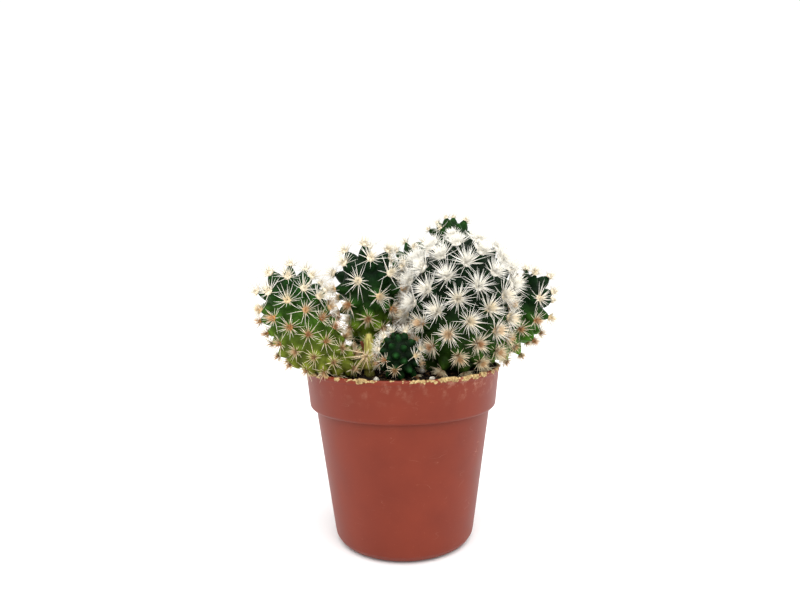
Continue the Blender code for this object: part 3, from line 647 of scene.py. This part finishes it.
def grow_spines(name, random):
    """All needles and wool of a stem. Lengths shrink towards the middle of a star, with age and
    where they are squeezed, and vary by a third."""
    stem = plan[name]
    count, reach, thick, _, fill = STARS.get(name, REAR_STAR)
    bears = stem["tip"][:, 2] > MIX_TOP - 0.5 * MM
    bears &= random.random(len(bears)) < BEARING.get(name, 1.0)
    tips = stem["tip"][bears]
    level = (tips[:, 2] - MIX_TOP) / (tips[:, 2].max() - MIX_TOP)
    ups = unit(stem["up"][bears] + 0.12 * random.normal(size=tips.shape))
    # stars between two stems are painted older and darker: partly wear and stain, partly painted
    # shade
    age = star_ages(name, tips, level, random) - PAINTED_SHADE_AND_WEAR_AGE * squeezed(name, tips, SQUEEZE_GAP)
    age = np.clip(age, 0.0, 1.0)
    direction = star_directions(ups, count, fill, random)
    shape = direction.shape[:2]
    young = np.clip((level - CROWN) / (1.0 - CROWN), 0.0, 1.0)
    size = 0.58 + 0.42 * np.clip(age * 1.3, 0.0, 1.0)
    size *= 1.0 - YOUNG_SHORTER.get(name, 0.0) * young
    length = reach * MM * size[:, None] * (1.0 - 0.5 * np.arange(count) / (count - 1))[None]
    length *= 0.66 + 0.64 * random.random(shape)
    ends = (tips[:, None] + direction * length[..., None]).reshape(-1, 3)
    length *= 1.0 - SQUEEZE_SHORTER * squeezed(name, ends, 0.5 * SQUEEZE_GAP).reshape(shape)
    radius = 0.5 * thick * MM * (0.85 + 0.3 * random.random(shape))
    bend = ups[:, None] * 0.1 + 0.2 * (random.random((*shape, 3)) - 0.5)
    root = tips[:, None] - ups[:, None] * 0.25 * MM + direction * 0.4 * MM
    points, faces, tone = needles(
        root.reshape(-1, 3), direction.reshape(-1, 3), bend.reshape(-1, 3),
        length.ravel(), radius.ravel(), star_tones(age, count),
    )
    wool_radius = (WOOL_SIZE[0] + WOOL_SIZE[1] * age) * MM * reach / 4.0
    wool_tone = blend_tones([codes[2] for codes in AGES], age)
    wool, wool_quads, wool_tone = domes(tips, ups, wool_radius, wool_tone, random)
    faces.append(wool_quads + len(points))
    return np.vstack([points, wool]), faces, np.vstack([tone, wool_tone])


random = np.random.default_rng(11)
for name in STEMS:
    points, faces, tones = grow_spines(name, random)
    add_piece(name + "_spines", points, faces, spine_bark, name, tones)

# %% [markdown]
# ## The pot
# The pot is an injection moulded nursery pot: a thin tapering wall with a deep collar, a narrow
# bead round the rim and four drain holes. Its wall is turned: the two sides of the profile are
# read off the CAD pot's own faces, by which way they look, and carried round the axis. Cutting
# the profile's corners twice gives the small radii that a mould leaves.

# %% Pot profile
POT_SIDES = 192
POT_STEP = 1.5 * MM  # the profile's points lie no further apart
CORNER_CUTS = 2
ROUNDING = 1e-5  # CAD points closer than this count as one


def wall_profile(outer):
    """Radius and height of one side of the wall, from its lowest point up: the corners of the
    faces that look away from the axis (outer) or towards it, the drain holes left out."""
    points, faces = merged("pot")
    corners = points[faces]
    normal = np.cross(corners[:, 1] - corners[:, 0], corners[:, 2] - corners[:, 0])
    middle = corners.mean(axis=1)
    reach = np.hypot(middle[:, 0], middle[:, 1])
    facing = (normal[:, :2] * middle[:, :2]).sum(axis=1) / reach / np.linalg.norm(normal, axis=1)
    base = np.hypot(points[:, 0], points[:, 1])[points[:, 2] < 1e-6].max()
    chosen = (facing > 0.05 if outer else facing < -0.05) & (reach > 0.85 * base)
    side = corners[chosen].reshape(-1, 3)
    rows = np.column_stack([side[:, 2], np.hypot(side[:, 0], side[:, 1])])
    return np.unique(np.round(rows / ROUNDING).astype(int), axis=0)[:, ::-1] * ROUNDING


def cut_corners(profile, times):
    """Chaikin's rule: each stretch keeps its points at one and three quarters, ends stay."""
    for _ in range(times):
        low = 0.75 * profile[:-1] + 0.25 * profile[1:]
        high = 0.25 * profile[:-1] + 0.75 * profile[1:]
        between = np.stack([low, high], axis=1).reshape(-1, 2)
        profile = np.vstack([profile[:1], between[1:-1], profile[-1:]])
    return profile


def finer(profile, step):
    """The same profile with points no further apart than a step."""
    length = np.concatenate([[0.0], np.cumsum(np.linalg.norm(np.diff(profile, axis=0), axis=1))])
    places = np.unique(np.concatenate([length, np.arange(0.0, length[-1], step)]))
    return np.column_stack([np.interp(places, length, profile[:, k]) for k in (0, 1)])


def turned(profile, sides):
    """Rings of (r cos b, r sin b, z) for each (r, z) of a profile whose ends lie on the axis."""
    b = np.arange(sides) * 2.0 * math.pi / sides
    radius, height = profile[1:-1, :1], profile[1:-1, 1:]
    return np.stack([radius * np.cos(b), radius * np.sin(b), height + 0.0 * b], axis=-1)


def closed_skin(rings, low_pole, high_pole):
    """Points and faces of a stack of rings, closed by a fan at each pole."""
    count, sides = rings.shape[:2]
    points = np.vstack([rings.reshape(-1, 3), low_pole, high_pole])
    around = np.arange(sides)
    after = (around + 1) % sides
    last = (count - 1) * sides
    bottom = np.stack([after, around, 0 * around + count * sides], axis=-1)
    top = np.stack([last + around, last + after, 0 * around + count * sides + 1], axis=-1)
    return points, [ring_quads(count, sides), np.vstack([bottom, top])]


outer, inner = wall_profile(True), wall_profile(False)
floor_height = inner[0, 1]
walls = np.vstack([[0.0, outer[0, 1]], outer, inner[::-1], [0.0, floor_height]])
pot_profile = cut_corners(finer(walls, POT_STEP), CORNER_CUTS)
pot_rim = outer[:, 0].max()
pot_height = outer[:, 1].max()
print(f"pot: rim radius {pot_rim / MM:.1f} mm, height {pot_height / MM:.1f} mm")

# %% [markdown]
# ## Pot: polypropylene, injection moulded
# Terracotta coloured polypropylene has an even satin finish, a touch rougher where hands and
# soil have rubbed it. Hard water leaves a chalky haze near the rim, fine scratches show paler
# than the wall, and a few specks of soil and lime stick to it.

# %% Pot material
CLOUD = 9.0 * MM  # broad uneven patches of the moulding
DUST = 0.6 * MM
HAZE = 3.0 * MM  # patches of dried water
HAZE_DEPTH = 7.0 * MM  # how far down from the rim it reaches
SPLASH = (6.0 * MM, 14.0 * MM)  # to the right of this, the haze grows stronger
SCRATCH_PATH = 8.0 * MM  # how far apart the paths of scratches run
SCRATCH_LENGTH = 5.0 * MM  # how long a scratch stays visible
GRAIN = 0.3 * MM
pot_plastic, tree, shader = new_material(
    "terracotta_polypropylene", Roughness=0.46, IOR=1.49, Specular_IOR_Level=0.25
)
place = add(tree, "ShaderNodeTexCoord").outputs["Object"]
axes = add(tree, "ShaderNodeSeparateXYZ", {"Vector": place}).outputs
cloud = noise(tree, place, CLOUD, 4.0)
tint = ramp(tree, cloud, (0.3, "#6e2613"), (0.7, "#772c18"))
speck = ramp(tree, noise(tree, place, DUST, 3.0), (0.66, "#000000"), (0.72, "#707070"))
dusted = mix(tree, speck, tint, linear("#9c5540"))
near_rim = span(tree, axes["Z"], pot_height - HAZE_DEPTH, pot_height, 0.0, 1.0)
haze = noise(tree, place, HAZE, 6.0, Roughness=0.7)
film = ramp(tree, haze, (0.53, "#000000"), (0.8, "#b0b0b0"))
film_there = product(tree, film, span(tree, axes["X"], *SPLASH, 1.0, 2.2))
film_share = product(tree, film_there, near_rim, use_clamp=True)
limed = mix(tree, film_share, dusted, linear("#c49a80"))
print("colours of the wall, its dust and its lime film")

# %% [markdown]
# ## Scratches and grain
# A scratch is a thin line that wanders and breaks off. Noise has a smooth field, and the narrow
# band where it crosses one half is such a line; a second noise lets only short stretches show.

# %% Scratches and grain
slanted = add(
    tree, "ShaderNodeMapping",
    {"Vector": place, "Rotation": (0.3, 0.5, 0.0), "Scale": (1.0, 1.0, 4.0)},
).outputs["Vector"]
paths = noise(tree, slanted, SCRATCH_PATH, 1.0)
thin = ramp(tree, paths, (0.494, "#000000"), (0.5, "#ffffff"), (0.506, "#000000"))
broken = noise(tree, place, SCRATCH_LENGTH, 2.0)
scratch = product(tree, thin, ramp(tree, broken, (0.58, "#000000"), (0.68, "#909090")))
scratched = mix(tree, scratch, limed, linear("#c08d78"))
tree.links.new(span(tree, cloud, 0.0, 1.0, 0.38, 0.56), shader.inputs["Roughness"])
finish_surface(tree, shader, scratched, noise(tree, place, GRAIN, 2.0), 0.12, 0.05 * MM)
print("material", pot_plastic.name)

# %% [markdown]
# ## Turning and drilling the pot
# The profile is turned and four drills are subtracted. Their place and size come from the corners
# on the underside of the CAD pot that lie well inside its foot.

# %% Turn the pot and drill it
DRILL_SIDES = 32
rings = turned(pot_profile, POT_SIDES)
points, faces = closed_skin(rings, (0.0, 0.0, outer[0, 1]), (0.0, 0.0, floor_height))
pot = add_piece("pot_wall", points, faces, pot_plastic, "pot")
hole_points = merged("pot")[0]
hole_points = hole_points[np.hypot(hole_points[:, 0], hole_points[:, 1]) < 0.8 * outer[0, 0]]
hole_points = hole_points[(hole_points[:, 2] < 1e-6) & (np.abs(hole_points[:, 0]) > 1e-6)]
hole_middle = np.abs(hole_points[:, :2]).mean(axis=0)
hole_radius = np.ptp(np.abs(hole_points[:, 0])) / 2.0
drill_length = 2.0 * floor_height
drill_profile = np.array([[0.0, -1.0], [1.0, -1.0], [1.0, 1.0], [0.0, 1.0]])
drill_rings = turned(drill_profile * (hole_radius, drill_length), DRILL_SIDES)


def drill(pot, middle):
    """Cuts one hole through the pot's floor: wall minus drill."""
    end = np.array([0.0, 0.0, drill_length])
    points, faces = closed_skin(drill_rings + middle, middle - end, middle + end)
    mesh = bpy.data.meshes.new("drill")
    mesh.from_pydata(points.tolist(), [], faces[0].tolist() + faces[1].tolist())
    tool = bpy.data.objects.new("drill", mesh)
    bpy.context.scene.collection.objects.link(tool)
    hole = pot.modifiers.new("hole", "BOOLEAN")
    hole.operation = "DIFFERENCE"
    hole.solver = "EXACT"
    hole.object = tool
    bored = pot.evaluated_get(bpy.context.evaluated_depsgraph_get())
    bored = bpy.data.meshes.new_from_object(bored)
    pot.modifiers.clear()
    pot.data = bored
    bpy.data.objects.remove(tool)


for x_side, y_side in ((1, 1), (-1, 1), (-1, -1), (1, -1)):
    drill(pot, np.array([x_side * hole_middle[0], y_side * hole_middle[1], 0.0]))
print(f"4 drain holes of radius {hole_radius / MM:.2f} mm, pot {len(pot.data.polygons)} faces")

# %% [markdown]
# ## Lime crust on the rim
# Hard water leaves a crumbly yellowish crust where it dries on the rim. It is made as a hose
# bent round the lip: a ring a little inside the wall, pushed out only where a noise and a few
# patches say that there is crust, so that it comes and goes without an edge of its own.


# %% Smooth random waves
def waves(points, size, random, count=40):
    """Smooth noise from -1 to 1: the mean of many cosine waves of random direction and phase,
    with a wavelength near the size, scaled to fill the range."""
    way = unit(random.normal(size=(count, 3)))
    pitch = 2.0 * math.pi / (size * (0.7 + 0.6 * random.random(count)))
    phase = 2.0 * math.pi * random.random(count)
    field = np.cos(points @ (way * pitch[:, None]).T + phase).sum(axis=1)
    return np.clip(field / math.sqrt(count / 2.0) / 2.0, -1.0, 1.0)


# %% [markdown]
# ## Where the crust grows
# Crust gathers where water was poured and where the pot dried first, so it comes in patches.
# Coarse and fine waves break each patch into crumbs.

# %% Crust
# angles from the front in degrees, to the right: (middle, half width, strength)
CRUST_PATCHES = (
    (-56, 15, 0.8), (-21.5, 4.5, 1.0), (33, 28, 1.0),
    (75, 10, 0.6), (150, 22, 0.8), (-120, 18, 0.8),
)
CRUST_SIDES = 1440
CRUST_ROUND = 14
CRUST_HEIGHT = 0.42 * MM


def make_crust(random):
    """Ring of radius R + (w + h) cos c and height z + (w + h) sin c over the lip, where c goes
    round the lip, w is just under half the wall and h is the crust's own thickness there."""
    b = np.arange(CRUST_SIDES) * 2.0 * math.pi / CRUST_SIDES
    c = np.arange(CRUST_ROUND) * 2.0 * math.pi / CRUST_ROUND
    wall = pot_rim - inner[:, 0].max()
    lip = pot_rim - 0.5 * wall
    level = pot_height - 0.5 * wall
    b, c = np.meshgrid(b, c, indexing="ij")
    spot = np.stack([lip * np.cos(b), lip * np.sin(b), level + wall * np.sin(c)], axis=-1)
    spot = spot.reshape(-1, 3)
    side = np.degrees(np.arctan2(spot[:, 0], -spot[:, 1]))
    patch = np.zeros(len(spot))
    for middle, half, strength in CRUST_PATCHES:
        away = np.abs((side - middle + 180.0) % 360.0 - 180.0) / half
        patch = np.maximum(patch, strength * np.clip(1.6 - away, 0.0, 1.0))
    coarse = waves(spot, 3.0 * MM, random)
    fine = waves(spot, 0.9 * MM, random)
    crumb = np.clip(patch - 0.5 + 0.7 * coarse + 0.4 * fine, -0.35, 1.0)
    grown = (0.46 * wall + CRUST_HEIGHT * crumb).reshape(b.shape)
    radius = lip + grown * np.cos(c)
    points = np.stack([radius * np.cos(b), radius * np.sin(b), level + grown * np.sin(c)], axis=-1)
    row = np.arange(CRUST_SIDES)[:, None] * CRUST_ROUND
    next_row = (row + CRUST_ROUND) % (CRUST_SIDES * CRUST_ROUND)
    col = np.arange(CRUST_ROUND)[None]
    next_col = (col + 1) % CRUST_ROUND
    quads = np.stack([row + col, next_row + col, next_row + next_col, row + next_col], axis=-1)
    tone = blend_tones(("#94764c", "#b99a66", "#d8c08a"), 0.5 + 0.5 * fine)
    return points.reshape(-1, 3), quads.reshape(-1, 4), tone


# %% [markdown]
# ## Loose mineral: lime crust and expanded perlite
# Both are chalk-dull, rough and nearly white. Perlite is volcanic glass blown up by heat, full
# of tiny pits; lime crust is yellower and crumbly. One matt material does for both.

# %% Mineral material
PIT = 0.3 * MM
mineral, tree, shader = new_material("chalky_mineral", Roughness=0.9, IOR=1.5)
place, tone = sources(tree)
pits = noise(tree, place, PIT, 4.0)
shade = ramp(tree, pits, (0.35, "#a39b8c"), (0.6, "#ffffff"))
finish_surface(tree, shader, mix(tree, 1.0, tone, shade, "MULTIPLY"), pits, 0.6, 0.2 * MM)
print("material", mineral.name)

# %% [markdown]
# ## Laying the crust
# One ring round the lip, with its own seed so that it can be changed alone.

# %% Lay the crust
random = np.random.default_rng(23)
points, quads, tones = make_crust(random)
add_piece("rim_crust", points, [quads], mineral, None, tones)

# %% [markdown]
# ## Potting mix
# The mix is dark peat with bark, fibres and a few white grains of perlite. Its solid is turned
# from the profile of the CAD mix, and its top is roughened by waves of three sizes. Crumbs and
# fibres lie on it in thousands, so each of them has only a few dozen faces.

# %% Mix surface
MIX_SIDES = 240
MIX_STEP = 1.5 * MM
MOUND_RINGS = 110
CRUMBS = 1500
FIBRES = 260


def mix_profile():
    """Radius and height of the CAD mix from the middle of its underside out and up to its edge,
    with the top closed by the mound's own curve."""
    points, _ = merged("potting_mix")
    radius = np.hypot(points[:, 0], points[:, 1])
    low = points[:, 2].min()
    foot = radius[points[:, 2] < low + 1e-6].max()
    edge = points[radius.argmax(), 2]
    rows = np.round(np.column_stack([points[:, 2], radius]) / ROUNDING).astype(int)
    rows = np.unique(rows, axis=0) * ROUNDING
    side = (rows[:, 1] > foot - ROUNDING) & (rows[:, 0] <= edge + ROUNDING)
    wall = rows[side][:, ::-1]
    out = np.linspace(1.0, 0.0, MOUND_RINGS)
    top = np.column_stack([wall[-1, 0] * out, edge + (MIX_TOP - edge) * (1.0 - out**2)])
    return np.vstack([[0.0, low], wall, top[1:]])


def mix_height(x, y, profile_edge, profile_top):
    """Height of the mound over a point: edge + rise x (1 - (r / R)^2)."""
    share = (x**2 + y**2) / profile_edge[0] ** 2
    return profile_edge[1] + (profile_top - profile_edge[1]) * (1.0 - share)


def lumps(centres, sizes, random, tones):
    """Lumpy grains of 4 rings and 6 sides, each stretched and turned at random."""
    rings, sides = 4, 6
    ups = unit(random.normal(size=centres.shape))
    side, other = square_directions(ups)
    a = (np.arange(rings) + 0.5) / rings * math.pi
    b = np.arange(sides) * 2.0 * math.pi / sides
    lump = sizes[:, None, None] * (0.75 + 0.5 * random.random((len(centres), rings, sides)))
    x = lump * (np.sin(a)[:, None] * np.cos(b))[None]
    y = lump * (np.sin(a)[:, None] * np.sin(b))[None] * 0.8
    z = lump * np.cos(a)[None, :, None] * (0.7 + 0.8 * random.random((len(centres), 1, 1)))
    points = centres[:, None, None] + side[:, None, None] * x[..., None]
    points = points + other[:, None, None] * y[..., None] + ups[:, None, None] * z[..., None]
    walls = ring_quads(rings, sides)[:, DOWNWARD]
    caps = np.array([[0, 1, 2, 3], [0, 3, 4, 5]])
    quads = np.vstack([walls, caps, (rings - 1) * sides + caps[:, ::-1]])
    quads = copies(quads, len(centres), rings * sides)
    return points.reshape(-1, 3), quads, np.repeat(tones, rings * sides, axis=0)


# %% [markdown]
# ## Potting mix: milled peat
# Damp peat is almost black brown and quite matt, with lighter dry fibres. The colour of each
# crumb comes from its attribute, and noise gives the fine crumbly relief.

# %% Peat material
CRUMB = 0.7 * MM
peat, tree, shader = new_material("milled_peat", Roughness=0.95, IOR=1.4, Specular_IOR_Level=0.2)
place, tone = sources(tree)
crumbs = noise(tree, place, CRUMB, 5.0)
shade = ramp(tree, crumbs, (0.35, "#5a5a5a"), (0.65, "#ffffff"))
finish_surface(tree, shader, mix(tree, 1.0, tone, shade, "MULTIPLY"), crumbs, 0.8, 0.5 * MM)
print("material", peat.name)

# %% [markdown]
# ## The bed of mix
# Waves of three sizes roughen the mound, and they die away next to the pot so that the bed never
# breaks through the wall.

# %% Lay the bed
CALM_EDGE = 1.5 * MM  # the relief fades out over this width next to the wall
profile = mix_profile()
edge_at = profile[profile[:, 0].argmax()]
rings = turned(finer(profile, MIX_STEP), MIX_SIDES)
top = rings[..., 2] > edge_at[1] + 1e-6
spots = rings[top]
relief = 0.45 * waves(spots, 4.0 * MM, random) + 0.3 * waves(spots, 1.6 * MM, random)
relief += 0.15 * waves(spots, 0.7 * MM, random)
inside = edge_at[0] - np.hypot(spots[:, 0], spots[:, 1])
inside = np.clip(inside / CALM_EDGE, 0.0, 1.0)
rings[top] += np.column_stack([0.0 * relief, 0.0 * relief, relief * inside * MM])
points, faces = closed_skin(rings, (0.0, 0.0, profile[0, 1]), (0.0, 0.0, profile[-1, 1]))
tones = blend_tones(("#17110c", "#2a1f16"), 0.5 + 0.5 * waves(points, 2.0 * MM, random))
add_piece("mix_bed", points, faces, peat, "potting_mix", tones)

# %% [markdown]
# ## Crumbs and fibres
# Bark crumbs and root fibres lie loose on top, placed evenly over the disc.


# %% Scatter crumbs and fibres
def scattered(count, reach, random):
    """Random x and y over a disc: r = R sqrt(u), so that equal areas get equal numbers."""
    radius = reach * np.sqrt(random.random(count))
    turn = 2.0 * math.pi * random.random(count)
    return radius * np.cos(turn), radius * np.sin(turn)


x, y = scattered(CRUMBS, edge_at[0] * 0.97, random)
size = MM * (0.18 + 0.5 * random.random(CRUMBS) ** 2.5)
centres = np.column_stack([x, y, mix_height(x, y, edge_at, MIX_TOP) + 0.3 * size])
tones = blend_tones(("#120c08", "#2b1d12", "#4a3220", "#6b4a2e"), random.random(CRUMBS) ** 1.6)
points, quads, tones = lumps(centres, size, random, tones)
add_piece("mix_crumbs", points, [quads], peat, None, tones)

x, y = scattered(FIBRES, edge_at[0] * 0.93, random)
roots = np.column_stack([x, y, mix_height(x, y, edge_at, MIX_TOP) + 0.15 * MM])
direction = random.normal(size=(FIBRES, 3)) * (1.0, 1.0, 0.12)
bend = 0.5 * random.normal(size=(FIBRES, 3)) * (1.0, 1.0, 0.1)
length = MM * (1.0 + 2.0 * random.random(FIBRES))
tones = blend_tones(("#2b1a10", "#7a5a38", "#a88458"), random.random(FIBRES))
thick = np.full(FIBRES, 0.09 * MM)
points, faces, tones = needles(roots, unit(direction), bend, length, thick, (tones, tones))
add_piece("mix_fibres", points, faces, peat, None, tones)

# %% [markdown]
# ## Perlite grains
# Five larger grains lie loose on the mix. Each is a ball whose radius is disturbed by waves of
# two sizes, which gives the knobbly, pitted look of popped glass.

# %% Perlite grains
GRAIN_RINGS = 20
GRAIN_SIDES = 32


def grain_ball(node, random):
    """Ball with radius r (1 + 0.16 n1 + 0.08 n2), centred on its CAD node and as wide as it."""
    low, high = (np.array(corner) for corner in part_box(node))
    a = (np.arange(GRAIN_RINGS) + 0.5) / GRAIN_RINGS * math.pi
    b = np.arange(GRAIN_SIDES) * 2.0 * math.pi / GRAIN_SIDES
    a, b = np.meshgrid(-a[::-1], b, indexing="ij")
    ball = np.stack([-np.sin(a) * np.cos(b), -np.sin(a) * np.sin(b), -np.cos(a)], axis=-1)
    spots = ball.reshape(-1, 3) * 0.5 * (high - low)
    relief = 0.16 * waves(spots, 1.0 * MM, random) + 0.09 * waves(spots, 0.4 * MM, random)
    rings = (spots * (0.95 + relief)[:, None]).reshape(ball.shape) + 0.5 * (low + high)
    middle = 0.5 * (low + high)
    half = np.array([0.0, 0.0, 0.5 * (high - low)[2] * 0.95])
    return closed_skin(rings, middle - half, middle + half)


for name in sorted(n for n in frame["nodes"] if n.startswith("perlite_grain_")):
    points, faces = grain_ball(name, random)
    tones = blend_tones(("#b9b3a4", "#dcd8cc"), 0.5 + 0.5 * waves(points, 0.8 * MM, random))
    add_piece(name + "_puffed", points, faces, mineral, name, tones)

# %% [markdown]
# ## Dead pieces
# A withered offset is a small stem that dried up: a shrunken, wrinkled tongue, yellow green and
# slightly see-through. The old flower stalk is a dark twisted stick. Both are tubes carried
# along the line of their CAD solid, with wrinkles that run lengthwise.

# %% Wrinkled tubes
TUBE_RINGS = 40
TUBE_SIDES = 40


def stick_line(node):
    """The two ends of a CAD stick and its radius at even shares of the way between them."""
    points, _ = merged(node)
    foot, top = points[points[:, 2].argmin()], points[points[:, 2].argmax()]
    line = top - foot
    share = (points - foot) @ line / (line @ line)
    away = np.linalg.norm(points - foot - share[:, None] * line, axis=1)
    order = np.argsort(share)
    keep = order[away[order] > 1e-5]
    levels, place = np.unique(np.round(share[keep], 2), return_inverse=True)
    radius = np.bincount(place, weights=away[keep]) / np.bincount(place)
    return foot, top, levels, radius


def wrinkled_tube(node, ridges, depth, sway):
    """Tube round the line: radius r(s) (1 + d cos(k b + twist)), with an axis that sways."""
    foot, top, levels, radius = stick_line(node)
    s = np.linspace(0.01, 0.99, TUBE_RINGS)
    b = np.arange(TUBE_SIDES) * 2.0 * math.pi / TUBE_SIDES
    s, b = np.meshgrid(s, b, indexing="ij")
    line = top - foot
    side, other = square_directions(unit(line)[None])
    ridge = np.cos(ridges * b + 2.5 * s) + 0.5 * np.cos((ridges + 3) * b - 4.0 * s)
    reach = np.interp(s, levels, radius) * (1.0 + depth * ridge)
    middle = foot + s[..., None] * line + side * (sway * np.sin(2.0 * math.pi * s))[..., None]
    rings = middle + side * (reach * np.cos(b))[..., None] + other * (reach * np.sin(b))[..., None]
    return closed_skin(rings, foot, top)


# %% [markdown]
# ## Withered flesh and bark: dried plant tissue
# Dried tissue keeps a papery sheen and shows its vessels as fine lengthwise streaks.

# %% Dried tissue material
VESSEL = 0.35 * MM
dried, tree, shader = new_material("dried_plant_tissue", Roughness=0.6, IOR=1.42)
place, tone = sources(tree)
long_way = add(tree, "ShaderNodeMapping", {"Vector": place, "Scale": (1.0, 1.0, 0.25)})
vessel = noise(tree, long_way.outputs["Vector"], VESSEL, 3.0)
shade = ramp(tree, vessel, (0.3, "#b09a78"), (0.65, "#ffffff"))
finish_surface(tree, shader, mix(tree, 1.0, tone, shade, "MULTIPLY"), vessel, 0.4, 0.15 * MM)
print("material", dried.name)

# %% [markdown]
# ## The withered offset and the stalk
# Five shallow ridges and pale green for the shrunken flesh, three deep ones and brown for the
# stalk.

# %% Dead pieces
SWAY = 0.25 * MM
for node, slot, ridges, depth, codes in (
    ("withered_offset", "withered_flesh", 5, 0.07, ("#6b6a2a", "#a8a646", "#c4c068", "#b5ad5e")),
    ("dry_stalk", "dry_stalk", 3, 0.16, ("#3a1a10", "#6a2f1c", "#8a4a2e")),
):
    points, faces = wrinkled_tube(node, ridges, depth, SWAY)
    height = (points[:, 2] - MIX_TOP) / (points[:, 2].max() - MIX_TOP)
    add_piece(node + "_wrinkled", points, faces, dried, node, blend_tones(codes, height))

# %% [markdown]
# ## The fallen tuft
# One areole has dropped off an old stem and lies in front, with all its long straw spines. It
# grows from the CAD tuft: the points with three edges are its tips, and each gets a small sheaf
# of needles from the middle.

# %% Fallen tuft
SHEAF = 4


def make_tuft(random):
    """Needles from the tuft's middle to each CAD tip, each scattered by a sixth of its length."""
    points, faces = merged("dry_spine_tuft")
    edges = edges_of(faces)
    tips = points[np.bincount(edges.ravel(), minlength=len(points)) == 3]
    rest = points[np.bincount(edges.ravel(), minlength=len(points)) > 3]
    middle = rest.mean(axis=0)
    reach = np.repeat(tips - middle, SHEAF, axis=0)
    scatter = 0.16 * np.linalg.norm(reach, axis=1, keepdims=True)
    reach = reach + scatter * random.normal(size=reach.shape)
    length = np.linalg.norm(reach, axis=1) * (0.8 + 0.3 * random.random(len(reach)))
    bend = 0.12 * random.normal(size=reach.shape)
    root = middle + 0.35 * MM * random.normal(size=reach.shape)
    tone = blend_tones(("#b98a58", "#e4cfa4"), random.random(len(reach)))
    tip_tone = blend_tones(("#d8bc8c", "#f2e6c8"), random.random(len(reach)))
    thick = np.full(len(reach), 0.17 * MM)
    return needles(root, unit(reach), bend, length, thick, (tone, tip_tone))


points, faces, tones = make_tuft(random)
add_piece("fallen_tuft", points, faces, spine_bark, "dry_spine_tuft", tones)

# %% [markdown]
# ## Studio
# A plain white table, soft light from all round and a large scrim over the plant. The side of the
# camera is dimmer, as in front of any lit table, so the pot's face is darker than its edges.

# %% Table
TABLE_REACH = 3.0  # metres from the middle to each edge
paper, tree, shader = new_material("white_table", Roughness=0.9)
shader.inputs["Base Color"].default_value = linear("#ececec")
corners = [(x * TABLE_REACH, y * TABLE_REACH, 0.0) for x, y in ((-1, -1), (1, -1), (1, 1), (-1, 1))]
mesh = bpy.data.meshes.new("table")
mesh.from_pydata(corners, [], [(0, 1, 2, 3)])
mesh.materials.append(paper)
table = bpy.data.objects.new("table", mesh)
bpy.context.scene.collection.objects.link(table)
print("table", paper.name)

# %% [markdown]
# ## Light
# The scrim overhead is a sun lamp as wide as a large source looks. The surroundings light the
# rest: bright behind and at both sides, dim on the camera's side, plain white to the camera.

# %% Light
overhead = bpy.data.lights.new("overhead_scrim", "SUN")
overhead.angle = math.radians(60.0)
overhead.energy = 3.0
scrim = bpy.data.objects.new("overhead_scrim", overhead)
bpy.context.scene.collection.objects.link(scrim)
scrim.rotation_euler = (math.radians(38.0), math.radians(6.0), 0.0)
world = bpy.data.worlds.new("studio")
bpy.context.scene.world = world
world.use_nodes = True
tree = world.node_tree
tree.nodes.clear()
way = add(tree, "ShaderNodeTexCoord").outputs["Generated"]
axes = add(tree, "ShaderNodeSeparateXYZ", {"Vector": way}).outputs
fade = span(tree, axes["Y"], -0.9, 0.15, 0.28, 1.3)
sideways = add(tree, "ShaderNodeMath", {0: axes["X"]}, operation="ABSOLUTE")
wings = span(tree, sideways.outputs[0], 0.55, 0.95, 0.0, 0.8)
strength = add(tree, "ShaderNodeMath", {0: fade, 1: wings}).outputs[0]
paint = {"Color": linear("#ffffff")}
glow = add(tree, "ShaderNodeBackground", {**paint, "Strength": strength}).outputs[0]
white = add(tree, "ShaderNodeBackground", {**paint, "Strength": 1.05}).outputs[0]
seen = add(tree, "ShaderNodeLightPath").outputs["Is Camera Ray"]
choice = add(tree, "ShaderNodeMixShader", {0: seen, 1: glow, 2: white}).outputs[0]
add(tree, "ShaderNodeOutputWorld", {"Surface": choice})
bpy.context.scene.view_settings.view_transform = "Standard"
print("light", overhead.name, world.name)

# %% [markdown]
# ## Camera
# The camera stands close, a little above the rim, and looks slightly down.

# %% Camera
CAMERA_DISTANCE = 159.3 * MM
CAMERA_HEIGHT = 74.3 * MM
CAMERA_PITCH = math.radians(2.22)
CAMERA_ROLL = math.radians(-0.785)
CAMERA_TURN = math.radians(0.159)
eye = bpy.data.cameras.new("camera")
eye.sensor_width = 36.0
eye.lens = 24.75
eye.clip_start = 0.001
camera = bpy.data.objects.new("camera", eye)
bpy.context.scene.collection.objects.link(camera)
level = Euler((math.pi / 2.0 - CAMERA_PITCH, 0.0, 0.0)).to_matrix().to_4x4()
aim = Matrix.Rotation(CAMERA_TURN, 4, "Z") @ level @ Matrix.Rotation(CAMERA_ROLL, 4, "Z")
camera.matrix_world = Matrix.Translation((0.0, -CAMERA_DISTANCE, CAMERA_HEIGHT)) @ aim
bpy.context.scene.camera = camera
print(f"camera {CAMERA_DISTANCE / MM:.0f} mm away, lens {eye.lens} mm")
